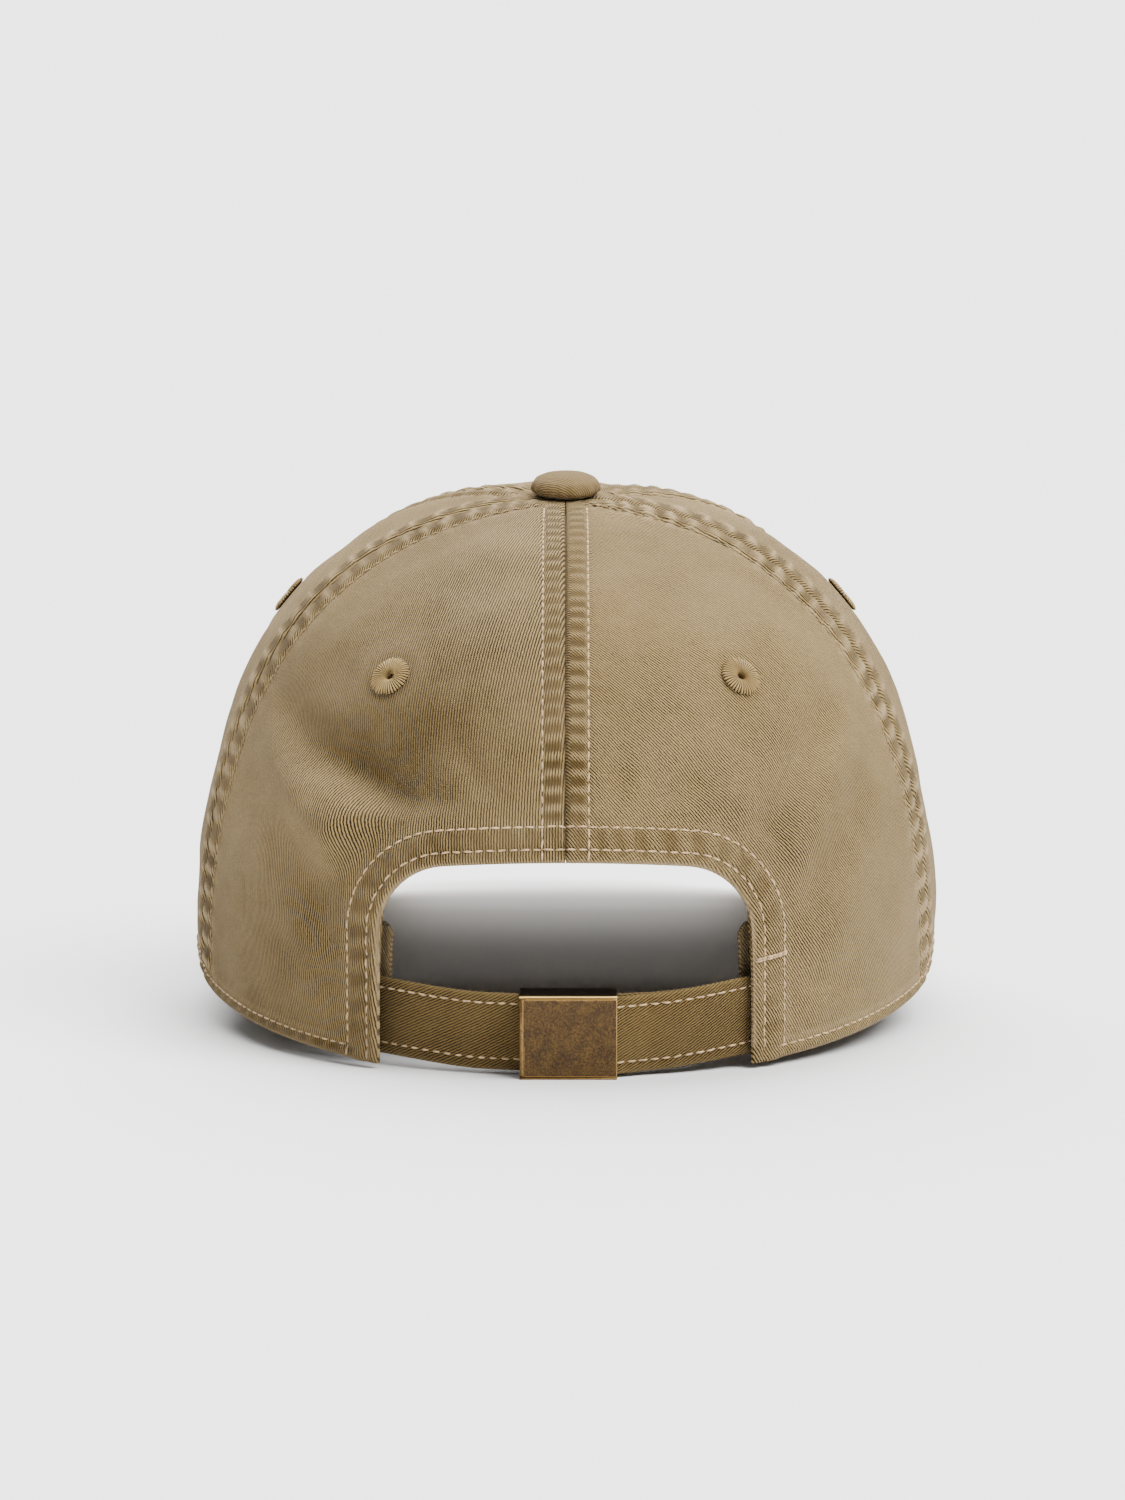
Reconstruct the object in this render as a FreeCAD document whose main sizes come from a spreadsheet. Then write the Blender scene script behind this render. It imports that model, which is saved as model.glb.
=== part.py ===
"""Six-panel baseball cap with an arched back opening, closed by a strap and a hinged brass clasp.

The frame is the cap standing on a table: +Z up, +Y towards the peak, +X to the wearer's right, and the
origin on the table under the middle of the cap. The crown is drawn upright in its own frame, with its rim
near z = 0 and its widest point at y = 0, and is then leaned back, because the peak lifts its front edge.
Azimuth runs round the crown from 0 at the back, through 90 at the wearer's right, to 180 at the front.
Climb runs up the crown from 0 at the rim to 90 degrees at the button.
"""
import FreeCAD, Part
import Sketcher

import math
import os

V = FreeCAD.Vector

SIZES = {
    # crown, outside of the cloth
    "half_width": 86.8,
    "back_length": 100.0,
    "front_length": 104.0,
    "crown_height": 108.8,
    "button_forward": 8.0,
    "fullness_back": 2.24,
    "fullness_side": 2.52,
    "fullness_front": 2.44,
    "rear_seam": 75.5,
    "front_seam": 124.0,
    "top_hole_climb": 88.2,
    "panel_gap": 0.08,
    "lean": 6.78,
    "lean_line": 87.7,
    "shift_forward": -35.3,
    "shift_up": 1.14,
    # thicknesses, and depths below the crown's outer face
    "cloth": 1.0,
    "tape_depth": 1.15,
    "tape_cloth": 0.5,
    "front_tape_depth": 1.8,
    "lining_cloth": 0.45,
    "band_depth_back": 8.5,
    "band_depth_front": 2.7,
    "band_cloth": 1.2,
    "band_height": 31.0,
    "band_end": 30.8,
    "tape_half_width": 6.0,
    # back opening
    "arch_half_width": 41.8,
    "arch_top": 47.7,
    "arch_bow": 190.0,
    "arch_corner": 17.0,
    "arch_foot": -20.0,
    "arch_hem": 9.0,
    "arch_reach": 60.0,
    # eyelets
    "eyelet_hole": 1.0,
    "eyelet_tube": 2.0,
    "eyelet_clear": 2.15,
    "eyelet_flange": 4.3,
    "eyelet_proud": 0.6,
    "eyelet_climb_back": 45.25,
    "eyelet_climb_side": 45.0,
    "eyelet_climb_front": 45.0,
    # covered button
    "button_radius": 8.2,
    "button_height": 5.6,
    "button_foot": 0.5,
    "button_cloth": 0.7,
    "button_metal": 0.5,
    "button_crown": 2.4,
    "rivet_radius": 1.4,
    "rivet_head": 3.2,
    "washer_radius": 8.0,
    "washer_top": 2.6,
    "washer_thick": 0.8,
    # peak
    "peak_half_width": 84.0,
    "peak_reach": 172.0,
    "peak_front_radius": 120.0,
    "peak_corner_radius": 52.0,
    "peak_heel": 24.0,
    "peak_roll": 200.0,
    "peak_slope": 13.4,
    "peak_crest": 1.6,
    "peak_cloth": 0.9,
    "board_thick": 1.6,
    "peak_joint": 0.1,
    "peak_sink": 0.6,
    "board_inset": 1.6,
    "peak_tuck": 2.4,
    # strap, in plan about the vertical line that it bends round
    "clasp_aside": 0.6,
    "strap_axis": 24.55,
    "wall_radius": 76.4,
    "strap_half_height": 8.75,
    "strap_middle": 9.5,
    "strap_lean": 4.0,
    "strap_half_turn": 49.5,
    "strap_outer": 72.25,
    "strap_cloth": 1.2,
    "short_strap_outer": 74.0,
    "short_strap_split": 14.0,
    # clasp, in its own frame: x along the strap, y into the cap, z up
    "clasp_half_width": 10.8,
    "clasp_half_height": 9.5,
    "rail": 0.45,
    "rail_front": -0.35,
    "frame_back": 7.4,
    "back_bar_front": 6.6,
    "back_bar_width": 2.6,
    "loop_bar_x": 8.6,
    "loop_bar_y": 2.6,
    "loop_bar_radius": 0.6,
    "loop_hole": 0.75,
    "loop_radius": 1.6,
    "pin_x": 9.6,
    "pin_y": 0.8,
    "pin_radius": 0.55,
    "knuckle_hole": 0.61,
    "knuckle_radius": 1.15,
    "cover_front": 0.35,
    "cover_thick": 0.8,
    "cover_half_height": 8.9,
    "jaw_reach": 4.4,
    "jaw_thick": 0.7,
    "jaw_half_height": 7.8,
}


# ---------------------------------------------------------------- document and helpers

doc = FreeCAD.newDocument("baseball_cap")
sheet = doc.addObject("Spreadsheet::Sheet", "sizes")
for row, (alias, value) in enumerate(SIZES.items(), start=1):
    sheet.set(f"A{row}", alias)
    sheet.set(f"B{row}", str(value))
    sheet.setAlias(f"B{row}", alias)
doc.recompute()
parts = []


def size(alias):
    return float(getattr(sheet, alias))


def value_of(cells):
    """The value of a sum such as 'cloth + tape_cloth - 2'."""
    total, sign = 0.0, 1
    for word in cells.split():
        if word in "+-":
            sign = 1 if word == "+" else -1
        else:
            total += sign * (size(word) if word in SIZES else float(word))
            sign = 1
    return total


def expression(cells):
    """The same sum as an expression that follows the spreadsheet."""
    return " ".join("sizes." + word if word in SIZES else word for word in cells.split())


def bind(thing, **cells):
    for name, total in cells.items():
        thing.setExpression(name, expression(total))


def keep(thing, label, placement):
    """Names a finished piece, puts it in place and lists it for export."""
    thing.Label = label
    thing.Placement = placement
    parts.append(thing)
    return thing


def boolean(kind, name, first, *others):
    """A Part::Cut of the others from the first, or a MultiFuse or MultiCommon of all of them."""
    result = doc.addObject(kind, name)
    if kind == "Part::Cut":
        result.Base, result.Tool = first, others[0]
    else:
        result.Shapes = [first, *others]
    return result


def box(name, x, y, z):
    """A Part::Box between pairs of sums of cells along each axis."""
    made = doc.addObject("Part::Box", name)
    for side, axis, (low, high) in zip(("Length", "Width", "Height"), "xyz", (x, y, z)):
        made.setExpression(f"Placement.Base.{axis}", expression(low))
        made.setExpression(side, f"({expression(high)}) - ({expression(low)})")
    return made


def cylinder(name, radius, x, y, z):
    """An upright Part::Cylinder: x and y are sums of cells, z a pair of them."""
    made = doc.addObject("Part::Cylinder", name)
    bind(made, Radius=radius)
    made.setExpression("Height", f"({expression(z[1])}) - ({expression(z[0])})")
    for axis, low in zip("xyz", (x, y, z[0])):
        made.setExpression(f"Placement.Base.{axis}", expression(low))
    return made


def sketch_on(body, plane, name):
    sketch = body.newObject("Sketcher::SketchObject", name)
    found = [f for f in body.Origin.OriginFeatures if f.Role == plane]
    sketch.AttachmentSupport = [(found[0], "")]
    sketch.MapMode = "FlatFace"
    return sketch


def hold(sketch, line, end, cells):
    """Ties one end of a line to a point given as two sums of cells."""
    for kind, axis, total in zip(("DistanceX", "DistanceY"), (-2, -1), cells):
        if value_of(total) == 0:
            sketch.addConstraint(Sketcher.Constraint("PointOnObject", line, end, axis))
            continue
        number = sketch.addConstraint(Sketcher.Constraint(kind, -1, 1, line, end, value_of(total)))
        sketch.setExpression(f"Constraints[{number}]", expression(total))


def polygon(sketch, corners):
    """A closed outline whose every corner follows the spreadsheet."""
    points = [V(value_of(x), value_of(y), 0) for x, y in corners]
    for start, end in zip(points, points[1:] + points[:1]):
        sketch.addGeometry(Part.LineSegment(start, end), False)
    count = len(points)
    for line in range(count):
        sketch.addConstraint(Sketcher.Constraint("Coincident", line, 2, (line + 1) % count, 1))
        hold(sketch, line, 1, corners[line])


def turned(name, corners, plane="XZ_Plane", angle=None):
    """A body turned about Z from an outline of (radius, height) corners, all round or symmetrically."""
    body = doc.addObject("PartDesign::Body", name)
    sketch = sketch_on(body, plane, name + "_outline")
    polygon(sketch, corners)
    turn = body.newObject("PartDesign::Revolution", name + "_turn")
    turn.Profile = sketch
    turn.ReferenceAxis = (sketch, ["V_Axis"])
    turn.Angle = 360
    if angle:
        turn.Midplane = True
        turn.setExpression("Angle", angle)
    return body


def bowed_pad(name, plane, cells, grow, length):
    """A pad of a flat-footed outline: straight sides, rounded corners and a bowed top.

    Cells name its half width, top, bow radius, corner radius and foot; grow widens all but the foot.
    """
    half_cell, top_cell, bow_cell, corner_cell, foot_cell = cells
    body = doc.addObject("PartDesign::Body", name)
    sketch = sketch_on(body, plane, name + "_outline")
    half, top, bow, corner = (value_of(cell + grow) for cell in cells[:4])
    foot = size(foot_cell)
    side = half - corner
    rise = math.sqrt((bow - corner) ** 2 - side ** 2)
    turn = math.atan2(rise, side)
    corner_up, bow_up = top - bow + rise, top - bow
    normal = V(0, 0, 1)
    sketch.addGeometry(
        [
            Part.LineSegment(V(-half, foot, 0), V(half, foot, 0)),
            Part.LineSegment(V(half, foot, 0), V(half, corner_up, 0)),
            Part.ArcOfCircle(Part.Circle(V(side, corner_up, 0), normal, corner), 0, turn),
            Part.ArcOfCircle(Part.Circle(V(0, bow_up, 0), normal, bow), turn, math.pi - turn),
            Part.ArcOfCircle(Part.Circle(V(-side, corner_up, 0), normal, corner), math.pi - turn, math.pi),
            Part.LineSegment(V(-half, corner_up, 0), V(-half, foot, 0)),
        ],
        False,
    )
    ties = [("Coincident", 0, 2, 1, 1), ("Coincident", 5, 2, 0, 1), ("Equal", 2, 4)]
    ties += [("Tangent", line, 2, line + 1, 1) for line in range(1, 5)]
    ties += [("Horizontal", 0), ("Vertical", 1), ("Vertical", 5), ("PointOnObject", 3, 3, -2)]
    for tie in ties:
        sketch.addConstraint(Sketcher.Constraint(*tie))
    hold(sketch, 0, 2, (half_cell + grow, foot_cell))
    bow_ends = (3, 3, -1, 1) if bow_up < 0 else (-1, 1, 3, 3)
    signs = (bow_cell, top_cell) if bow_up < 0 else (top_cell, bow_cell)
    for constraint, total in (
        (("DistanceX", 0, 1, -1, 1, half), half_cell + grow),
        (("Radius", 2, corner), corner_cell + grow),
        (("Radius", 3, bow), bow_cell + grow),
        (("DistanceY", *bow_ends, abs(bow_up)), " - ".join(signs)),
    ):
        number = sketch.addConstraint(Sketcher.Constraint(*constraint))
        sketch.setExpression(f"Constraints[{number}]", expression(total))
    pad = body.newObject("PartDesign::Pad", name + "_pad")
    pad.Profile = sketch
    pad.Length = length
    return body


# ---------------------------------------------------------------- placements

def placed(turn_x, base):
    return FreeCAD.Placement(V(*base), FreeCAD.Rotation(V(1, 0, 0), turn_x))


SHIFT, ASIDE = size("shift_forward"), size("clasp_aside")
CROWN = placed(size("lean"), (0, SHIFT - size("lean_line"), size("shift_up"))).multiply(
    placed(0, (0, size("lean_line"), 0))
)
STRAP_DEPTH = size("wall_radius") - size("strap_outer") + size("strap_cloth") / 2
STRAP_RISE = STRAP_DEPTH * math.sin(math.radians(size("strap_lean")))
STRAP = placed(0, (ASIDE, SHIFT - size("strap_axis"), size("strap_middle") + STRAP_RISE))
CLASP = placed(
    size("strap_lean"),
    (ASIDE, SHIFT - size("strap_axis") - size("wall_radius"), size("strap_middle")),
)


# ---------------------------------------------------------------- the crown's form

def fullness(azimuth):
    """How square the crown's side view is: 2 is an ellipse, more is fuller."""
    back, side, front = size("fullness_back"), size("fullness_side"), size("fullness_front")
    toward_back = math.cos(azimuth)
    return side + (back - front) / 2 * toward_back + ((back + front) / 2 - side) * toward_back ** 2


def rim_point(azimuth):
    """The crown's outline at the rim, seen from above."""
    back, front = size("back_length"), size("front_length")
    length = (back + front) / 2 + (back - front) / 2 * math.cos(azimuth)
    return size("half_width") * math.sin(azimuth), -length * math.cos(azimuth)


def peak_height(x, y):
    """The height of the peak's top face: a cylinder that slopes down to the front."""
    slope = math.radians(size("peak_slope"))
    roll = size("peak_roll")
    drop = (roll - math.sqrt(roll ** 2 - x ** 2)) / math.cos(slope)
    return size("peak_crest") - (y - size("front_length")) * math.tan(slope) - drop


def rim_height(azimuth):
    """The rim is flat at the back and follows the peak at the front."""
    start, end = math.radians(70), math.radians(104)
    share = min(1.0, max(0.0, (abs(azimuth) - start) / (end - start)))
    ease = share * share * (3 - 2 * share)
    return ease * peak_height(*rim_point(azimuth))


def outer_point(azimuth, climb):
    power = fullness(azimuth)
    across, up = math.cos(climb), math.sin(climb)
    reach = (abs(across) ** power + abs(up) ** power) ** (-1 / power)
    x, y = rim_point(azimuth)
    low = rim_height(azimuth)
    out = across * reach
    forward = size("button_forward") * (1 - out) + y * out
    return V(x * out, forward, low + (size("crown_height") - low) * up * reach)


def crown_point(azimuth, climb, depth):
    """A point that lies depth below the crown's outer face, measured square to it."""
    step = 1e-4
    along = outer_point(azimuth + step, climb) - outer_point(azimuth - step, climb)
    upward = outer_point(azimuth, climb + step) - outer_point(azimuth, climb - step)
    outward = along.cross(upward).normalize()
    return outer_point(azimuth, climb) - outward * depth


def radius_at(azimuth, climb):
    point = outer_point(azimuth, climb)
    return math.hypot(point.x, point.y - size("button_forward"))


def climb_at(azimuth, height):
    """The climb at which the crown's outer face reaches a height, by halving."""
    low, high = math.radians(-10), math.radians(89)
    for _ in range(40):
        middle = (low + high) / 2
        if outer_point(azimuth, middle).z < height:
            low = middle
        else:
            high = middle
    return low


def spread(start, end, count):
    return [start + (end - start) * i / (count - 1) for i in range(count)]


def cloth_solid(outer, inner):
    """A closed solid between two grids of points, with ruled edges."""
    faces = []
    for grid in (outer, inner):
        surface = Part.BSplineSurface()
        surface.interpolate(grid)
        faces.append(surface.toShape())
    for edge, twin in zip(faces[0].Edges, faces[1].Edges):
        faces.append(Part.makeRuledSurface(edge, twin))
    shell = Part.makeShell(faces)
    shell.sewShape()
    solid = Part.makeSolid(shell)
    if solid.Volume < 0:
        solid.reverse()
    return solid


def crown_cloth(name, columns, depth, thick):
    """A layer of cloth on the crown. Each column is a list of (azimuth, climb); depth may vary by azimuth."""
    outer = [[crown_point(a, c, depth(a)) for a, c in column] for column in columns]
    inner = [[crown_point(a, c, depth(a) + thick) for a, c in column] for column in columns]
    layer = doc.addObject("Part::Feature", name)
    layer.Shape = cloth_solid(outer, inner)
    return layer


# ---------------------------------------------------------------- crown panels, eyelets, linings

REAR = math.radians(size("rear_seam"))
FRONT = math.radians(size("front_seam"))
PANELS = {
    "back_right": (0.0, REAR, size("eyelet_climb_back")),
    "side_right": (REAR, FRONT, size("eyelet_climb_side")),
    "front_right": (FRONT, math.pi, size("eyelet_climb_front")),
    "front_left": (-math.pi, -FRONT, size("eyelet_climb_front")),
    "side_left": (-FRONT, -REAR, size("eyelet_climb_side")),
    "back_left": (-REAR, 0.0, size("eyelet_climb_back")),
}


def panel_columns(start, end, low, high):
    """Columns from climb low to high, kept a hair inside the seams at both sides."""
    columns = []
    for share in spread(0, 1, 13):
        column = []
        for climb in spread(low, high, 15):
            inset = size("panel_gap") / max(1.0, radius_at(start, climb))
            column.append((start + inset + (end - start - 2 * inset) * share, climb))
        columns.append(column)
    return columns


def constant(depth):
    return lambda azimuth: depth


def arch_pad(name, grow):
    """The back opening as a pad along Y, wider all round by the sum in grow."""
    cells = ("arch_half_width", "arch_top", "arch_bow", "arch_corner", "arch_foot")
    pad = bowed_pad(name, "XZ_Plane", cells, grow, 40)
    pad.Placement = placed(0, (0, -size("arch_reach") - 10, 0))
    return pad


def eyelet_frame(azimuth, climb):
    """Puts Z along the crown's outward direction, with the origin on its outer face."""
    point = crown_point(azimuth, climb, 0)
    outward = point - crown_point(azimuth, climb, 1)
    return FreeCAD.Placement(point, FreeCAD.Rotation(V(0, 0, 1), outward))


def eyelet(side, where):
    """A ring of embroidery that wraps the edge of the hole in a panel."""
    back = "- cloth - 0.55"
    ring = turned(
        "eyelet_" + side,
        [
            ("eyelet_hole", back),
            ("eyelet_flange", back),
            ("eyelet_flange", "- cloth - 0.3"),
            ("eyelet_tube", "- cloth - 0.3"),
            ("eyelet_tube", "0.12"),
            ("eyelet_flange", "0.12"),
            ("eyelet_flange", "eyelet_proud - 0.25"),
            ("eyelet_flange - 0.6", "eyelet_proud"),
            ("eyelet_hole + 0.5", "eyelet_proud"),
            ("eyelet_hole", "eyelet_proud - 0.3"),
        ],
    )
    keep(ring, "eyelet_" + side, CROWN.multiply(where))


def build_panels():
    arch = arch_pad("arch_opening", "")
    high = math.radians(size("top_hole_climb"))
    for side, (start, end, climb) in PANELS.items():
        columns = panel_columns(start, end, 0.0, high)
        cloth = crown_cloth("cloth_" + side, columns, constant(0), size("cloth"))
        where = eyelet_frame((start + end) / 2, math.radians(climb))
        hole = doc.addObject("Part::Cylinder", "hole_" + side)
        bind(hole, Radius="eyelet_clear")
        hole.Height = 8
        hole.Placement = where.multiply(placed(0, (0, 0, -4)))
        tool = boolean("Part::MultiFuse", "cuts_" + side, hole, arch) if "back" in side else hole
        panel = boolean("Part::Cut", "panel_" + side, cloth, tool)
        keep(panel, "panel_" + side, CROWN)
        eyelet(side, where)


def strip_columns(azimuth, low, high, half_width):
    """Columns of a strip of even width that climbs the crown along one azimuth."""
    columns = []
    for offset in spread(-half_width, half_width, 5):
        columns.append([(azimuth + offset / radius_at(azimuth, c), c) for c in spread(low, high, 13)])
    return columns


def build_tapes():
    """Bound tapes that cover the seams inside the crown."""
    half = size("tape_half_width")
    inside_band = size("band_height") - 8
    seams = {
        "center_back": (0.0, "tape_depth", size("arch_top") + size("arch_hem") + 1.5),
        "rear_right": (REAR, "tape_depth", inside_band),
        "rear_left": (-REAR, "tape_depth", inside_band),
        "front_right": (FRONT, "front_tape_depth", inside_band),
        "front_left": (-FRONT, "front_tape_depth", inside_band),
        "center_front": (math.pi, "front_tape_depth", inside_band),
    }
    for side, (azimuth, depth, foot) in seams.items():
        low, high = climb_at(azimuth, foot), math.radians(82.0)
        while radius_at(azimuth, high) < 2 * half + 1.0:
            high -= math.radians(0.5)
        columns = strip_columns(azimuth, low, high, half)
        tape = crown_cloth("seam_tape_" + side, columns, constant(size(depth)), size("tape_cloth"))
        keep(tape, "seam_tape_" + side, CROWN)


def build_linings():
    """Stiff mesh behind the two front panels."""
    high = math.radians(size("top_hole_climb") - 12)
    for side in ("front_right", "front_left"):
        start, end, climb = PANELS[side]
        low = math.radians(3.0)
        columns = panel_columns(start, end, low, high)
        mesh = crown_cloth("mesh_" + side, columns, constant(size("tape_depth")), size("lining_cloth"))
        hole = doc.addObject("Part::Cylinder", "lining_hole_" + side)
        bind(hole, Radius="eyelet_flange + 0.3")
        hole.Height = 8
        where = eyelet_frame((start + end) / 2, math.radians(climb))
        hole.Placement = where.multiply(placed(0, (0, 0, -4)))
        keep(boolean("Part::Cut", "lining_" + side, mesh, hole), "lining_" + side, CROWN)


def build_facing():
    """A bias strip turned in along the arch, behind the two back panels."""
    edge = math.radians(42.0)
    climbs = spread(math.radians(0.8), math.radians(38), 13)
    columns = [[(azimuth, climb) for climb in climbs] for azimuth in spread(-edge, edge, 17)]
    layer = crown_cloth("facing_layer", columns, constant(size("tape_depth")), size("tape_cloth"))
    outside = arch_pad("facing_outside", " + arch_hem")
    inside = arch_pad("facing_inside", " + 0.6")
    ring = boolean("Part::Cut", "facing_ring", outside, inside)
    keep(boolean("Part::MultiCommon", "arch_facing", layer, ring), "arch_facing", CROWN)


def build_sweatband():
    """One strip round the inside of the rim, open at the back between the arch's edges."""
    def depth(azimuth):
        toward_front = (1 - math.cos(azimuth)) / 2
        ease = min(1.0, max(0.0, (toward_front - 0.28) / 0.4))
        change = size("band_depth_front") - size("band_depth_back")
        return size("band_depth_back") + change * ease * ease * (3 - 2 * ease)

    end = math.radians(size("band_end"))
    columns = []
    for azimuth in spread(end, 2 * math.pi - end, 49):
        turn = azimuth if azimuth <= math.pi else azimuth - 2 * math.pi
        low = climb_at(turn, rim_height(turn) + 1.0)
        high = climb_at(turn, size("band_height"))
        columns.append([(turn, c) for c in spread(low, high, 7)])
    band = crown_cloth("sweatband", columns, depth, size("band_cloth"))
    keep(band, "sweatband", CROWN)


# ---------------------------------------------------------------- button

def build_button():
    """A cloth-covered metal button, riveted through the crown's top to a washer inside."""
    place = CROWN.multiply(placed(0, (0, size("button_forward"), size("crown_height"))))
    cloth, metal = "- button_cloth", "- button_cloth - button_metal"
    crown = "button_height - button_crown"

    def dome(name, grow, foot):
        return turned(
            name,
            [
                ("0", "button_height " + grow),
                ("button_radius - 4.4", "button_height - 0.35 " + grow),
                ("button_radius - 1.7", "button_height - 1.2 " + grow),
                ("button_radius - 0.35 " + grow, crown),
                ("button_radius " + grow, "button_foot + 0.9"),
                ("button_radius - 0.5 " + grow, foot),
                ("0", foot),
            ],
        )

    hollow = dome("cover_hollow", cloth, "0")
    cover = boolean("Part::Cut", "button_cover", dome("cover_form", "", "button_foot"), hollow)
    keep(cover, "button_cover", place)
    gap = cloth + " - 0.1"
    shell_hollow = dome("shell_hollow", metal + " - 0.1", "0")
    shell = boolean("Part::Cut", "button_shell", dome("shell_form", gap, "button_foot"), shell_hollow)
    keep(shell, "button_shell", place)
    rivet = turned(
        "button_rivet",
        [
            ("0", "button_height - 1.8"),
            ("rivet_head", "button_height - 1.8"),
            ("rivet_head", "button_height - 2.4"),
            ("rivet_radius", "button_height - 2.4"),
            ("rivet_radius", "- washer_top - washer_thick - 0.1"),
            ("rivet_head - 0.8", "- washer_top - washer_thick - 0.1"),
            ("rivet_head - 1.2", "- washer_top - washer_thick - 0.9"),
            ("0", "- washer_top - washer_thick - 0.9"),
        ],
    )
    keep(rivet, "button_rivet", place)
    washer = turned(
        "button_washer",
        [
            ("rivet_radius + 0.1", "- washer_top"),
            ("washer_radius", "- washer_top"),
            ("washer_radius - 0.5", "- washer_top - washer_thick"),
            ("rivet_radius + 0.1", "- washer_top - washer_thick"),
        ],
    )
    keep(washer, "button_washer", place)


# ---------------------------------------------------------------- peak

def roll_layer(name, depth, thick):
    """A layer of the sloping cylinder that the peak is bent to, depth below its top face."""
    slope = math.radians(size("peak_slope"))
    shells = []
    for part, cells in (("out", "peak_roll" + depth), ("in", "peak_roll" + depth + thick)):
        tube = doc.addObject("Part::Cylinder", f"{name}_{part}")
        bind(tube, Radius=cells)
        tube.Height = 400
        shells.append(tube)
    layer = boolean("Part::Cut", name, *shells)
    crest = V(0, size("front_length"), size("peak_crest"))
    along, up = V(0, math.cos(slope), -math.sin(slope)), V(0, math.sin(slope), math.cos(slope))
    start = crest - up * size("peak_roll") - along * 200
    layer.Placement = FreeCAD.Placement(start, FreeCAD.Rotation(V(0, 0, 1), along))
    return layer


def head_hole():
    """An upright oval that clears the head, inside which the peak is cut away."""
    tuck = size("peak_tuck")
    length = size("front_length") - tuck
    oval = Part.Ellipse(V(0, length, 0), V(size("half_width") - tuck, 0, 0), V(0, 0, 0))
    face = Part.Face(Part.Wire(oval.toShape()))
    hole = doc.addObject("Part::Feature", "head_hole")
    hole.Shape = face.extrude(V(0, 0, 200))
    hole.Placement = placed(0, (0, 0, -100))
    return hole


def build_peak():
    hole = head_hole()
    cells = ("peak_half_width", "peak_reach", "peak_front_radius", "peak_corner_radius", "peak_heel")
    cloth, joint, board = " - peak_cloth", " - peak_joint", " - board_thick"
    sink = " - peak_sink"
    layers = {
        "peak_top_cloth": ("", sink, cloth),
        "peak_board": (" - board_inset", sink + cloth + joint, board),
        "peak_under_cloth": ("", sink + cloth + joint + board + joint, cloth),
    }
    for label, (inset, depth, thick) in layers.items():
        plan = bowed_pad(label + "_plan", "XY_Plane", cells, inset, 140)
        plan.Placement = placed(0, (0, 0, -90))
        layer = roll_layer(label + "_roll", depth, thick)
        sheet_of = boolean("Part::MultiCommon", label + "_sheet", plan, layer)
        keep(boolean("Part::Cut", label, sheet_of, hole), label, CROWN)


# ---------------------------------------------------------------- strap and clasp

def build_long_strap():
    """Sewn in behind the left back panel, it runs through the clasp and its tail tucks in at the right."""
    rise = size("strap_half_height") * math.cos(math.radians(size("strap_lean")))
    flare = size("strap_half_height") * math.sin(math.radians(size("strap_lean")))
    body = doc.addObject("PartDesign::Body", "strap_form")
    sketch = sketch_on(body, "YZ_Plane", "strap_outline")
    out, cloth = size("strap_outer"), size("strap_cloth")
    corners = [V(-out + flare, -rise, 0), V(-out - flare, rise, 0), V(-out - flare + cloth, rise, 0)]
    corners.append(V(-out + flare + cloth, -rise, 0))
    for start, end in zip(corners, corners[1:] + corners[:1]):
        sketch.addGeometry(Part.LineSegment(start, end), False)
    lift = "strap_half_height * cos(sizes.strap_lean * 1 deg)"
    spread_out = "strap_half_height * sin(sizes.strap_lean * 1 deg)"
    radii = [f"sizes.strap_outer - sizes.{spread_out}", f"sizes.strap_outer + sizes.{spread_out}"]
    radii += [f"{radii[1]} - sizes.strap_cloth", f"{radii[0]} - sizes.strap_cloth"]
    for line, corner in enumerate(corners):
        sketch.addConstraint(Sketcher.Constraint("Coincident", line, 2, (line + 1) % 4, 1))
        across = sketch.addConstraint(Sketcher.Constraint("DistanceX", line, 1, -1, 1, -corner.x))
        sketch.setExpression(f"Constraints[{across}]", radii[line])
        ends = (-1, 1, line, 1) if corner.y > 0 else (line, 1, -1, 1)
        up = sketch.addConstraint(Sketcher.Constraint("DistanceY", *ends, abs(corner.y)))
        sketch.setExpression(f"Constraints[{up}]", f"sizes.{lift}")
    turn = body.newObject("PartDesign::Revolution", "strap_turn")
    turn.Profile = sketch
    turn.ReferenceAxis = (sketch, ["V_Axis"])
    turn.Midplane = True
    turn.setExpression("Angle", "2 * sizes.strap_half_turn")
    keep(body, "long_strap", STRAP)


def plan_point(radius, azimuth):
    """A point of the strap's plan in the clasp's frame."""
    return V(radius * math.sin(azimuth), size("wall_radius") - radius * math.cos(azimuth), 0)


def build_short_strap():
    """Sewn in behind the right back panel; its free end loops round the clasp's bar."""
    outer = size("short_strap_outer")
    inner = outer - size("strap_cloth")
    end, split = math.radians(size("strap_half_turn")), math.radians(size("short_strap_split"))
    bar, radius = V(size("loop_bar_x"), size("loop_bar_y"), 0), size("loop_radius")
    front, left, back = bar + V(0, -radius, 0), bar + V(-radius, 0, 0), bar + V(0, radius, 0)
    middle = (end + split) / 2
    far_out, mid_out, near_out = (plan_point(outer, turn) for turn in (end, middle, split))
    far_in, mid_in, near_in = (plan_point(inner, turn) for turn in (end, middle, split))
    edges = [
        Part.Arc(far_out, mid_out, near_out).toShape(),
        Part.LineSegment(near_out, front).toShape(),
        Part.Arc(front, left, back).toShape(),
        Part.LineSegment(back, near_in).toShape(),
        Part.Arc(near_in, mid_in, far_in).toShape(),
        Part.LineSegment(far_in, far_out).toShape(),
    ]
    hole = Part.Circle(bar, V(0, 0, 1), size("loop_hole")).toShape()
    face = Part.Face([Part.Wire(edges), Part.Wire(hole)])
    half = size("strap_half_height")
    strap = doc.addObject("Part::Feature", "short_strap")
    strap.Shape = face.extrude(V(0, 0, 2 * half))
    keep(strap, "short_strap", CLASP.multiply(placed(0, (0, 0, -half))))


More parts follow.
